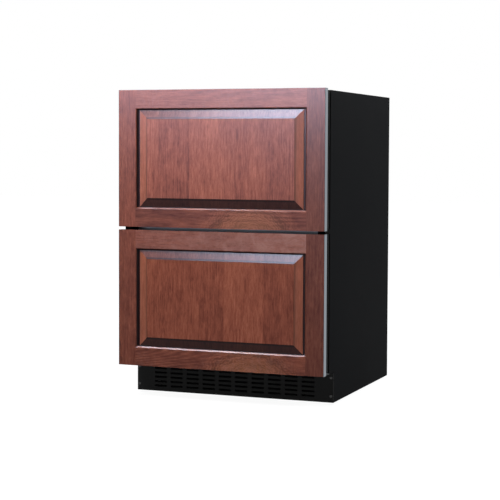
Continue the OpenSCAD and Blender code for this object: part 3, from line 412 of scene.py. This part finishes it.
def wood(
    name, along, seed, depth=1.0, boards=(), figure=1.0, arches=30.0, glaze_shade_mm=(0.9, 3.2),
    curl=0.0, painted_sheen=0.0, knot=None,
):
    """Stained straight-grained wood. along is the grain's axis, and depth darkens or lightens
    the stain. boards lists (left edge in metres, tint) for a glued-up raised panel. glaze_shade_mm
    is the depth below the face, in mm, over which dark glazing with painted shade sets in, in the
    recesses where shade falls. curl is how strongly the pale cross-grain figure shows, and
    painted_sheen how far a painted sheen pales the board towards +X. knot is the
    (x, z) place, in metres, that the feathered figure of a rail curves round."""
    g = Surface(name)
    shift = [seed * 3.17, seed * 1.73, seed * 2.41]
    spot = g.axes(g.position())
    board = None
    if boards:
        low, high = boards[0][0], -boards[0][0]
        stops = [((edge - low) / (high - low), grey(tint)) for edge, tint in boards]
        board = g.ramp(g.span(spot[0], low, high, smooth=False), stops, "CONSTANT")

    def stretched(wide, long):
        """Coordinates that draw a noise out along the grain, anew for each board."""
        scale = [wide] * 3
        scale[along] = long
        placed = g.place(scale, shift)
        if board is None:
            return placed
        return g.vector("MULTIPLY_ADD", board, BOARD_JUMP, placed)

    contour = g.noise(stretched(9.0, 1.3), detail=1.2, rough=0.4, distortion=0.2)
    ring = g.span(g.math("PINGPONG", g.math("MULTIPLY", contour, arches), 1.0), 0.1, 1.0)
    lines = g.noise(stretched(430, 14), detail=3, rough=0.6)
    streak = g.noise(stretched(230, 34), detail=4, rough=0.66)
    fibre = g.noise(stretched(1100, 70), detail=2, rough=0.6)
    blotch = g.noise(stretched(14, 6), detail=3, rough=0.55)
    cloud = g.noise(stretched(45, 28), detail=4, rough=0.62, distortion=0.6)
    fleck = g.span(g.noise(stretched(760, 46), detail=2, rough=0.6), 0.60, 0.80)
    pores = g.span(g.noise(stretched(1500, 110), detail=1), 0.60, 0.70)

    value = g.swing(ring, 0.10 * figure)
    weights = ((streak, 0.85), (lines, 0.70), (fibre, 0.50), (blotch, 0.45), (cloud, 0.50))
    for source, weight in weights:
        value = g.math("ADD", value, g.swing(source, weight))
    value = g.math("ADD", value, g.math("MULTIPLY", fleck, -0.14))
    value = g.math("ADD", value, 0.5)
    if boards:
        value = g.math("ADD", value, g.swing(board, 0.9))
    if knot:
        feather, reach = feathered(g, knot, shift)
        value = g.math("ADD", value, feather)

    tones = []
    for at, strength, follow in TONES:
        red, green, blue = (channel * strength * depth for channel in STAIN)
        tones.append((at, (red, green * follow, blue * follow, 1.0)))
    colour = g.ramp(value, tones)
    if knot:
        colour = g.mix(g.span(reach, 0.015, 0.095, 0.42, 0.0), colour, KNOT)
    if curl:
        wave = g.noise(stretched(26, 46), detail=3, rough=0.55, distortion=2.2)
        patch = g.span(g.noise(stretched(9, 5), detail=2), 0.42, 0.62)
        pale = g.math("MULTIPLY", g.span(wave, 0.40, 0.68), patch)
        # Painted sheen: the board pales towards +X, by painted_sheen, in patches of the cloud
        paler = g.math("MULTIPLY", g.span(spot[0], -0.25, 0.27, 0.35, 1.75, smooth=False), painted_sheen)
        paler = g.math("MULTIPLY", paler, g.span(cloud, 0.3, 0.7, 0.55, 1.45))
        colour = g.mix(g.math("ADD", g.math("MULTIPLY", pale, curl), paler), colour, CURL_SHEEN)
    colour = g.mix(g.math("MULTIPLY", pores, 0.36), colour, PORE)
    # Dark glazing and painted shade deeper than glaze_shade_mm below the face, in the sticking and
    # grooves where shade falls
    deep = g.span(spot[1], FACE_Y + glaze_shade_mm[0] * MM, FACE_Y + glaze_shade_mm[1] * MM)
    colour = g.mix(g.math("MULTIPLY", deep, 0.96), colour, GLAZE_SHADE)
    if boards:
        colour = glaze_shade_panel(g, colour, spot[1])

    g.set(
        Base_Color=colour,
        Roughness=g.span(streak, 0.3, 0.7, 0.23, 0.26),
        Specular_IOR_Level=0.12,
    )
    height = g.math("SUBTRACT", g.math("MULTIPLY", streak, 0.6), g.math("MULTIPLY", pores, 0.5))
    g.bump(height, 0.10, 0.25 * MM)
    return g.mat


PANEL_BOARDS = {
    "upper": [(-0.25, 0.52), (-0.181, 0.42), (-0.088, 0.61), (0.008, 0.53), (0.132, 0.45)],
    "lower": [(-0.25, 0.55), (-0.179, 0.50), (-0.060, 0.46), (0.013, 0.62), (0.126, 0.47)],
}
# Seed, depth of the left stile and of the panel, and painted sheen of the top rail, which pales it
# towards +X
FRONT_LOOKS = {"upper": (3.0, 0.88, 1.10, 0.03), "lower": (11.0, 0.78, 0.98, 0.46)}
# Where the bottom rails' feathered figure centres: x, and how far below the rail
KNOT_X, KNOT_DROP = 0.088, 0.012

wood_of = {}
for drawer, (seed, stile_depth, panel_depth, top_painted_sheen) in FRONT_LOOKS.items():
    wood_of[f"{drawer}_left_stile"] = wood(
        f"wood_{drawer}_left", UPRIGHT, seed + 0.1, depth=stile_depth
    )
    wood_of[f"{drawer}_right_stile"] = wood(
        f"wood_{drawer}_right", UPRIGHT, seed + 1.3, depth=0.56
    )
    wood_of[f"{drawer}_top_rail"] = wood(
        f"wood_{drawer}_top", SIDEWAYS, seed + 2.2, depth=0.88, curl=0.12, painted_sheen=top_painted_sheen
    )
    wood_of[f"{drawer}_bottom_rail"] = wood(
        f"wood_{drawer}_bottom", SIDEWAYS, seed + 3.7, depth=0.70, figure=2.6, arches=40,
        glaze_shade_mm=(3.2, 4.4), curl=0.12,
        knot=(KNOT_X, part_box(f"{drawer}_bottom_rail")[0].z - KNOT_DROP),
    )
    wood_of[f"{drawer}_raised_panel"] = wood(
        f"wood_{drawer}_panel", UPRIGHT, seed + 5.9, depth=panel_depth,
        boards=PANEL_BOARDS[drawer], glaze_shade_mm=(7.1, 8.5),
    )


# ----------------------------------------------------- what each node is made of

# A material and how the names of its nodes end. What isn't listed is black trim.
MADE_OF = (
    (satin_steel, ("front_tray",)),
    (plate_steel, ("mullion",)),
    (black_paint, ("side_panel", "top_panel")),
    (grille_paint, ("toe_grille", "toe_grille_screws")),
    (zinc_sheet, ("rear_panel", "base_pan", "compartment_divider", "fan_shroud")),
    (white_liner, ("inner_liner", "evaporator_cover", "condensate_drain", "evaporator_fan_blades")),
    (door_liner_white, ("door_liner",)),
    (bin_plastic, ("_bin",)),
    (slide_zinc, ("slide_members", "intermediate_slides")),
    (foam_cream, ("foam",)),
    (gasket_grey, ("gasket",)),
    (rubber, ("compressor_grommets", "foot")),
    (lens_opal, ("light_lens",)),
    (button_grey, ("button",)),
    (compressor_black, ("compressor",)),
    (coil_black, ("condenser_coil",)),
    (coil_aluminium, ("evaporator_coil",)),
    (copper, ("refrigerant_tubes",)),
)


def material_of(name):
    if name in wood_of:
        return wood_of[name]
    for material, endings in MADE_OF:
        if name.endswith(endings):
            return material
    return black_trim


for name, obj in NODES.items():
    obj.data.materials.clear()
    obj.data.materials.append(material_of(name))


# -------------------------------------------------------------- edge rounding


def round_edges(obj, width, segments=2, angle=30):
    """Joins flat triangles into whole faces, then rounds the edges. width is in mm."""
    flat = obj.modifiers.new("flat", "DECIMATE")
    flat.decimate_type = "DISSOLVE"
    flat.angle_limit = math.radians(1)
    bevel = obj.modifiers.new("round", "BEVEL")
    bevel.width = width * MM
    bevel.segments = segments
    bevel.limit_method = "ANGLE"
    bevel.angle_limit = math.radians(angle)
    bevel.harden_normals = True
    bevel.use_clamp_overlap = True


ROUNDED = {
    "left_side_panel": 0.5, "right_side_panel": 0.5, "top_panel": 0.5, "toe_grille": 0.35,
    "mullion_end_caps": 0.8, "control_housing": 0.8, "evaporator_cover": 0.7,
}
for name, width in ROUNDED.items():
    round_edges(NODES[name], width)
for drawer in DRAWERS:
    for board in ("left_stile", "right_stile", "top_rail", "bottom_rail"):
        round_edges(NODES[f"{drawer}_{board}"], 0.55, 3)
    round_edges(NODES[f"{drawer}_raised_panel"], 0.5, 3, angle=8)
    round_edges(NODES[f"{drawer}_front_tray"], 0.3)
    round_edges(NODES[f"{drawer}_door_shell"], 0.55)
    round_edges(NODES[f"{drawer}_door_liner"], 0.9)


# -------------------------------------------------------------------- helpers


def piece(name, verts, faces, material, body, smooth=False):
    """A visible piece that rides on a body and has a material slot."""
    mesh = bpy.data.meshes.new(name)
    mesh.from_pydata([tuple(v) for v in verts], [], faces)
    mesh.update()
    bm = bmesh.new()
    bm.from_mesh(mesh)
    bmesh.ops.recalc_face_normals(bm, faces=bm.faces)
    bm.to_mesh(mesh)
    bm.free()
    mesh.materials.append(material)
    obj = bpy.data.objects.new(name, mesh)
    bpy.context.scene.collection.objects.link(obj)
    if smooth:
        for polygon in mesh.polygons:
            polygon.use_smooth = True
        mesh.set_sharp_from_angle(angle=math.radians(38))
    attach(obj, body)
    return obj


def add_box(verts, faces, low, high, matrix=None):
    start = len(verts)
    for x in (low[0], high[0]):
        for y in (low[1], high[1]):
            for z in (low[2], high[2]):
                corner = Vector((x, y, z))
                verts.append(matrix @ corner if matrix else corner)
    quads = ((0, 1, 3, 2), (4, 6, 7, 5), (0, 4, 5, 1), (2, 3, 7, 6), (0, 2, 6, 4), (1, 5, 7, 3))
    for quad in quads:
        faces.append([start + i for i in quad])


def rounded_loop(x0, x1, y0, y1, radius, steps=6):
    """Points round a rectangle with round corners, anticlockwise."""
    points = []
    for cx, cy, start in (
        (x1 - radius, y1 - radius, 0), (x0 + radius, y1 - radius, 90),
        (x0 + radius, y0 + radius, 180), (x1 - radius, y0 + radius, 270),
    ):
        for i in range(steps + 1):
            angle = math.radians(start + 90 * i / steps)
            points.append((cx + radius * math.cos(angle), cy + radius * math.sin(angle)))
    return points


def loft(verts, faces, loops, ring=False):
    """Joins loops of equally many points, one after another. The last one joins the first in a
    ring, or else both ends are closed."""
    start = len(verts)
    count = len(loops[0])
    for loop in loops:
        verts.extend(loop)
    for k in range(len(loops) if ring else len(loops) - 1):
        a = start + k * count
        b = start + ((k + 1) % len(loops)) * count
        for i in range(count):
            j = (i + 1) % count
            faces.append([a + i, a + j, b + j, b + i])
    if not ring:
        faces.append([start + i for i in range(count)][::-1])
        faces.append([start + (len(loops) - 1) * count + i for i in range(count)])


def lathe(verts, faces, profile, centre, axis=2, steps=40):
    """A profile of (radius, height) turned about the y or z axis through centre."""
    loops = []
    for radius, height in profile:
        loop = []
        for i in range(steps):
            angle = 2 * math.pi * i / steps
            u, v = radius * math.cos(angle), radius * math.sin(angle)
            offset = (u, v, height) if axis == 2 else (u, height, v)
            loop.append(tuple(middle + part for middle, part in zip(centre, offset)))
        loops.append(loop)
    loft(verts, faces, loops)


# ----------------------------------------------------------- bins and gaskets

BIN_WALL, BIN_CORNER = 2.5 * MM, 16 * MM
RIB_PITCH, RIB_HALF = 30 * MM, 1.5 * MM
RIB_SIDE_GAP, RIB_END_GAPS = 26 * MM, 60 * MM
GASKET_CORNER = 15 * MM
# Inset from the outer edge in mm, and part of the gasket's height
GASKET_PROFILE = (
    (0, 0), (0, 0.18), (1.6, 0.34), (1.9, 0.78), (3.0, 1.0), (6.2, 1.0), (7.0, 0.9), (7.8, 1.0),
    (11.0, 1.0), (12.1, 0.78), (12.4, 0.34), (14, 0.18), (14, 0),
)


def make_bin(drawer):
    low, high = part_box(f"{drawer}_bin")
    floor_z = low.z + BIN_WALL

    def loop(inset, z):
        radius = max(BIN_CORNER - inset, 1 * MM)
        outline = rounded_loop(
            low.x + inset, high.x - inset, low.y + inset, high.y - inset, radius
        )
        return [(x, y, z) for x, y in outline]

    # Inset and height, from under the floor, up the wall, over the rim and down inside
    steps = [
        (9 * MM, low.z), (4 * MM, low.z + 0.9 * MM), (1.2 * MM, low.z + 3.2 * MM),
        (0, low.z + 8 * MM), (0, high.z - 1.4 * MM), (0.5 * MM, high.z - 0.4 * MM),
        (1.5 * MM, high.z), (2.8 * MM, high.z), (3.5 * MM, high.z - 0.8 * MM),
        (3.5 * MM, high.z - 5 * MM), (BIN_WALL, high.z - 6.5 * MM),
        (BIN_WALL, low.z + 11 * MM), (BIN_WALL + 1.5 * MM, low.z + 6 * MM),
        (BIN_WALL + 5 * MM, floor_z + 0.6 * MM), (BIN_WALL + 10 * MM, floor_z),
    ]
    verts, faces = [], []
    loft(verts, faces, [loop(inset, z) for inset, z in steps])
    # Ribs across the floor keep what stands in the bin off condensed water
    count = int((high.y - low.y - RIB_END_GAPS) / RIB_PITCH)
    start = (low.y + high.y) / 2 - RIB_PITCH * (count - 1) / 2
    for i in range(count):
        y = start + i * RIB_PITCH
        add_box(
            verts, faces,
            (low.x + RIB_SIDE_GAP, y - RIB_HALF, floor_z - 0.3 * MM),
            (high.x - RIB_SIDE_GAP, y + RIB_HALF, floor_z + 1.2 * MM),
        )
    made = piece(
        f"{drawer}_bin_moulding", verts, faces, bin_plastic, f"{drawer}_drawer", True
    )
    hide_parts(f"{drawer}_bin")


def make_gasket(drawer):
    low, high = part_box(f"{drawer}_gasket")
    height = high.y - low.y
    loops = []
    for inset, rise in GASKET_PROFILE:
        d = inset * MM
        outline = rounded_loop(low.x + d, high.x - d, low.z + d, high.z - d, GASKET_CORNER - d)
        loops.append([(x, low.y + rise * height, z) for x, z in outline])
    verts, faces = [], []
    loft(verts, faces, loops, ring=True)
    made = piece(
        f"{drawer}_gasket_profile", verts, faces, gasket_grey, f"{drawer}_drawer", True
    )
    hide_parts(f"{drawer}_gasket")


for drawer in DRAWERS:
    make_bin(drawer)
    make_gasket(drawer)


# ------------------------------------------------------------------- controls

WINDOW_HALF_W, WINDOW_HALF_H, WINDOW_CORNER = 25.6 * MM, 6.6 * MM, 1.5 * MM
# How deep the window's two faces lie behind the front of the housing, in mm
WINDOW_FACES = (0.25, 0.95)
# A mark's bars: half width and half height, in mm
LEVEL_BAR, UPRIGHT_BAR = (2.6, 0.45), (0.45, 2.6)

housing_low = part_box("control_housing")[0]
button_low, button_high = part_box("warmer_button")
button_z = (button_low.z + button_high.z) / 2

verts, faces = [], []
window = rounded_loop(
    -WINDOW_HALF_W, WINDOW_HALF_W, button_z - WINDOW_HALF_H, button_z + WINDOW_HALF_H,
    WINDOW_CORNER, 3,
)
window_faces = [[(x, housing_low.y + deep * MM, z) for x, z in window] for deep in WINDOW_FACES]
loft(verts, faces, window_faces)
piece("display_window", verts, faces, black_gloss, "cabinet")

for name, bars in (("warmer_button", (LEVEL_BAR, UPRIGHT_BAR)), ("cooler_button", (LEVEL_BAR,))):
    low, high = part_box(name)
    x, z = (low.x + high.x) / 2, (low.z + high.z) / 2
    profile = [
        (3.6 * MM, high.y), (5 * MM, high.y), (5 * MM, low.y + 0.7 * MM),
        (4.4 * MM, low.y + 0.1 * MM), (3.6 * MM, low.y),
    ]
    verts, faces = [], []
    lathe(verts, faces, profile, (x, 0, z), axis=1, steps=32)
    cap = piece(f"{name}_cap", verts, faces, button_grey, name, True)
    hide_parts(name)
    verts, faces = [], []
    for wide, tall in bars:
        add_box(
            verts, faces,
            (x - wide * MM, low.y - 0.25 * MM, z - tall * MM),
            (x + wide * MM, low.y + 0.1 * MM, z + tall * MM),
        )
    piece(f"{name}_mark", verts, faces, black_trim, name)


# ----------------------------------------------------------------- toe grille

COLUMNS, ROWS = 10, 5
SLOT_LENGTH, SLOT_PITCH_X, SLOT_PITCH_Z, SLOT_Z = 36.5 * MM, 48.75 * MM, 12.4 * MM, 21 * MM
LIP_DEPTH, LIP_HALF, LIP_TILT = 6 * MM, 0.4 * MM, math.radians(28)
HEAD_R, HEAD_H = 4 * MM, 1.6 * MM
CROSS_HALF_LENGTH, CROSS_HALF_WIDTH = 1.8 * MM, 0.35 * MM

grille_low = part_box("toe_grille")[0]
verts, faces = [], []
for column in range(COLUMNS):
    x = (column - (COLUMNS - 1) / 2) * SLOT_PITCH_X
    for row in range(ROWS):
        z = SLOT_Z + row * SLOT_PITCH_Z
        hinge = Matrix.Translation((x, grille_low.y + 1.0 * MM, z - 3.1 * MM))
        tilt = hinge @ Matrix.Rotation(LIP_TILT, 4, "X")
        low, high = (-SLOT_LENGTH / 2, 0, -LIP_HALF), (SLOT_LENGTH / 2, LIP_DEPTH, LIP_HALF)
        add_box(verts, faces, low, high, tilt)
piece("toe_grille_lips", verts, faces, grille_paint, "cabinet")

screw_low, screw_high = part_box("toe_grille_screws")
seat = screw_low.y + HEAD_H
profile = [
    (1.9 * MM, seat + 9 * MM), (1.9 * MM, seat), (HEAD_R, seat), (3.8 * MM, seat - 0.7 * MM),
    (2.9 * MM, seat - 1.3 * MM), (1.2 * MM, seat - HEAD_H),
]
verts, faces = [], []
cross_verts, cross_faces = [], []
for x in (screw_low.x + HEAD_R, screw_high.x - HEAD_R):
    for z in (screw_low.z + HEAD_R, screw_high.z - HEAD_R):
        lathe(verts, faces, profile, (x, 0, z), axis=1, steps=28)
        for turn in (45, 135):
            spin = Matrix.Translation((x, 0, z)) @ Matrix.Rotation(math.radians(turn), 4, "Y")
            add_box(
                cross_verts, cross_faces,
                (-CROSS_HALF_LENGTH, seat - HEAD_H - 0.02 * MM, -CROSS_HALF_WIDTH),
                (CROSS_HALF_LENGTH, seat - 1.1 * MM, CROSS_HALF_WIDTH), spin,
            )
heads = piece("toe_grille_screw_heads", verts, faces, black_gloss, "cabinet", True)
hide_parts("toe_grille_screws")
piece("toe_grille_screw_slots", cross_verts, cross_faces, rubber, "cabinet")


# ----------------------------------------------------------------------- feet

FOOT_PAD = 6 * MM
THREAD_PITCH, THREAD_R, THREAD_ROOT_R = 1.5 * MM, 4.95 * MM, 4.45 * MM


def make_foot(node):
    low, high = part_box(node)
    x, y = (low.x + high.x) / 2, (low.y + high.y) / 2
    profile = [
        (17 * MM, 0), (18 * MM, 1 * MM), (18 * MM, 3.2 * MM), (16 * MM, 4.6 * MM),
        (11 * MM, 5.4 * MM), (9 * MM, FOOT_PAD),
    ]
    z = FOOT_PAD
    while z < high.z - 2.5 * MM:
        profile += [
            (THREAD_R, z + 0.3 * MM), (THREAD_R, z + 0.6 * MM), (THREAD_ROOT_R, z + 1.05 * MM)
        ]
        z += THREAD_PITCH
    profile += [(4.4 * MM, high.z - 0.8 * MM), (3.6 * MM, high.z)]
    verts, faces = [], []
    lathe(verts, faces, profile, (x, y, 0), steps=36)
    made = piece(f"{node}_leveller", verts, faces, rubber, node, True)
    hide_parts(node)


for corner in ("front_left_foot", "front_right_foot", "rear_left_foot", "rear_right_foot"):
    make_foot(corner)


# ------------------------------------------------------------- condenser coil

END_PLATE, FINS, FIN_HALF, FIN_INSET = 2 * MM, 92, 0.2 * MM, 2 * MM
TUBE_ROWS, TUBE_LAYERS, TUBE_R, TUBE_SIDES = 3, 2, 4 * MM, 16

coil_low, coil_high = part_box("condenser_coil")
verts, faces = [], []
for x in (coil_low.x, coil_high.x - END_PLATE):
    low, high = (x, coil_low.y, coil_low.z), (x + END_PLATE, coil_high.y, coil_high.z)
    add_box(verts, faces, low, high)
for i in range(1, FINS):
    x = coil_low.x + END_PLATE + (coil_high.x - coil_low.x - 2 * END_PLATE) * i / FINS
    add_box(
        verts, faces,
        (x - FIN_HALF, coil_low.y + FIN_INSET, coil_low.z + FIN_INSET),
        (x + FIN_HALF, coil_high.y - FIN_INSET, coil_high.z - FIN_INSET),
    )
depth, rise = coil_high.y - coil_low.y, coil_high.z - coil_low.z
angles = [2 * math.pi * k / TUBE_SIDES for k in range(TUBE_SIDES)]
circle = [(TUBE_R * math.cos(angle), TUBE_R * math.sin(angle)) for angle in angles]
for i in range(TUBE_ROWS):
    for j in range(TUBE_LAYERS):
        y = coil_low.y + (i + 0.5) * depth / TUBE_ROWS
        z = coil_low.z + (j + 0.5) * rise / TUBE_LAYERS
        ends = (coil_low.x + END_PLATE / 2, coil_high.x - END_PLATE / 2)
        loft(verts, faces, [[(x, y + u, z + v) for u, v in circle] for x in ends])
made = piece("condenser_fin_block", verts, faces, coil_black, "cabinet")
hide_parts("condenser_coil")


# ----------------------------------------------------------------- rear panel

# The sheet is set in, so that its screws' heads stay inside the panel's box
SET_IN = 0.7 * MM
SIDE_SCREWS = 6
SIDE_SCREW_INSET, SIDE_SCREW_END = 9 * MM, 14 * MM
ROW_SCREWS_X, ROW_SCREW_INSET = (-0.145, 0.0, 0.145), 10 * MM

rear = NODES["rear_panel"]
rear_low, rear_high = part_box("rear_panel")
mesh = rear.data.copy()
bm = bmesh.new()
bm.from_mesh(mesh)
for v in bm.verts:
    at = rear.matrix_world @ v.co
    if at.y > rear_high.y - 0.1 * MM:
        v.co = rear.matrix_world.inverted() @ Vector((at.x, at.y - SET_IN, at.z))
bm.to_mesh(mesh)
bm.free()
skin = bpy.data.objects.new("rear_panel_sheet", mesh)
skin.matrix_world = rear.matrix_world.copy()
bpy.context.scene.collection.objects.link(skin)
skin.data.materials.clear()
skin.data.materials.append(zinc_sheet)
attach(skin, "cabinet")
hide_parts("rear_panel")

face = rear_high.y - SET_IN
profile = [(4 * MM, face - 0.3 * MM), (4 * MM, face + 0.25 * MM), (2.6 * MM, rear_high.y)]
side_length = rear_high.z - rear_low.z - 2 * SIDE_SCREW_END
screw_places = [
    (x, rear_low.z + SIDE_SCREW_END + i * side_length / (SIDE_SCREWS - 1))
    for x in (rear_low.x + SIDE_SCREW_INSET, rear_high.x - SIDE_SCREW_INSET)
    for i in range(SIDE_SCREWS)
] + [
    (x, z)
    for x in ROW_SCREWS_X
    for z in (rear_low.z + ROW_SCREW_INSET, rear_high.z - ROW_SCREW_INSET)
]
verts, faces = [], []
for x, z in screw_places:
    lathe(verts, faces, profile, (x, 0, z), axis=1, steps=20)
piece("rear_panel_screws", verts, faces, coil_black, "cabinet", True)


# ------------------------------------------------------------ world and floor

AMBIENT = 0.13
AMBIENT_COLOUR, WHITE = (0.94, 0.95, 1.0, 1.0), (1.0, 1.0, 1.0, 1.0)
FLOOR_SIZE = 30
# Distance in metres over which the floor's glow rises, and its strength near and far; the weaker
# glow near the object is a painted shadow
GLOW_NEAR, GLOW_FAR, GLOW_PAINTED_SHADOW, GLOW_HIGH = 0.9, 2.6, 0.93, 0.99

world = bpy.data.worlds.new("studio")
bpy.context.scene.world = world
world.use_nodes = True
g = Graph(world.node_tree)
dim = g.glow("ShaderNodeBackground", AMBIENT_COLOUR, AMBIENT)
white = g.glow("ShaderNodeBackground", WHITE, 1.0)
backdrop = g.join("ShaderNodeMixShader", g.seen(), dim, white)
g.link(backdrop, g.node("ShaderNodeOutputWorld").inputs[0])

bpy.ops.mesh.primitive_plane_add(size=FLOOR_SIZE, location=(0, 0, 0))
floor = bpy.context.object
floor.name = "floor"
g = Surface("floor_pale")
g.set(Base_Color=grey(0.14), Roughness=0.9, Specular_IOR_Level=0.0)
reach = g.vector("LENGTH", g.position())
# The glow is weaker near the object, a painted shadow round it
strength = g.span(reach, GLOW_NEAR, GLOW_FAR, GLOW_PAINTED_SHADOW, GLOW_HIGH)
plain = g.bsdf.outputs[0]
lit = g.join("ShaderNodeAddShader", plain, g.glow("ShaderNodeEmission", WHITE, strength))
g.link(g.join("ShaderNodeMixShader", g.seen(), plain, lit), g.out.inputs[0])
floor.data.materials.append(g.mat)


# ---------------------------------------------------------------------- lamps

# The wood's lacquer has a sheen that the black cabinet lacks, so the sheen's lamps light it alone
lacquered = bpy.data.collections.new("lacquered_wood")
lacquered_frames = bpy.data.collections.new("lacquered_wood_but_the_lower_panel")
for name in wood_of:
    lacquered.objects.link(NODES[name])
    if name != "lower_raised_panel":
        lacquered_frames.objects.link(NODES[name])


def area_light(name, place, aim, size, watts, colour, wood_only=None):
    data = bpy.data.lights.new(name, "AREA")
    data.shape = "RECTANGLE"
    data.size, data.size_y = size
    data.energy = watts
    data.color = colour
    lamp = bpy.data.objects.new(name, data)
    lamp.location = place
    lamp.rotation_euler = (Vector(aim) - Vector(place)).to_track_quat("-Z", "Y").to_euler()
    lamp.visible_camera = False
    if wood_only:
        lamp.visible_diffuse = False
        lamp.light_linking.receiver_collection = wood_only
    bpy.context.scene.collection.objects.link(lamp)


# Name, place, aim, size, watts, colour, and the collection that it lights alone
for lamp in (
    ("overhead", (-0.35, -1.4, 2.25), (0, -0.3, 0.5), (1.6, 0.8), 50, (1.0, 0.98, 0.97)),
    ("right_fill", (1.55, 0.15, 1.5), (0.3, 0.1, 0.55), (0.9, 0.9), 19, (0.94, 0.97, 1.0)),
    ("left_fill", (-2.7, 0.35, 1.7), (0, 0.1, 0.45), (1.8, 1.8), 34, (1.0, 1.0, 1.0)),
    ("back_fill", (0.2, 3.0, 1.9), (0, 0.2, 0.45), (2.0, 1.6), 40, (1.0, 1.0, 1.0)),
    (
        "low_sheen", (-1.72, -2.77, 1.27), (0, -0.31, 0.75), (3.6, 0.5), 290,
        (0.92, 0.70, 0.92), lacquered_frames,
    ),
    (
        "high_sheen", (-0.22, -2.85, 1.81), (0, -0.31, 0.7), (1.9, 1.2), 620,
        (0.58, 0.74, 1.0), lacquered,
    ),
    (
        "top_sheen", (-1.15, -0.33, 3.0), (0, -0.33, 0.4), (1.7, 0.9), 450,
        (0.80, 0.86, 1.0), lacquered,
    ),
):
    area_light(*lamp)


# --------------------------------------------------------------------- camera

YAW, PITCH, ROLL = math.radians(20.83), math.radians(2.90), math.radians(0.27)
FOCAL_PX, WIDTH_PX, SENSOR = 1438.0, 500.0, 36.0
CAMERA_PLACE = (1.485, -3.870, 0.680)

ahead = Vector((-math.sin(YAW), math.cos(YAW), 0))
right = Vector((math.cos(YAW), math.sin(YAW), 0))
up = Vector((0, 0, 1))
ahead, up = (
    ahead * math.cos(PITCH) - up * math.sin(PITCH),
    up * math.cos(PITCH) + ahead * math.sin(PITCH),
)
right, up = (
    right * math.cos(ROLL) + up * math.sin(ROLL),
    up * math.cos(ROLL) - right * math.sin(ROLL),
)
camera_data = bpy.data.cameras.new("camera")
camera_data.sensor_width = SENSOR
camera_data.lens = FOCAL_PX / WIDTH_PX * SENSOR
camera_data.shift_x = -0.03
camera_data.shift_y = -0.05
camera_data.clip_start, camera_data.clip_end = 0.05, 100
camera = bpy.data.objects.new("camera", camera_data)
turn = Matrix((right, up, -ahead)).transposed().to_4x4()
camera.matrix_world = Matrix.Translation(CAMERA_PLACE) @ turn
bpy.context.scene.collection.objects.link(camera)
bpy.context.scene.camera = camera
bpy.context.scene.view_settings.view_transform = "Standard"
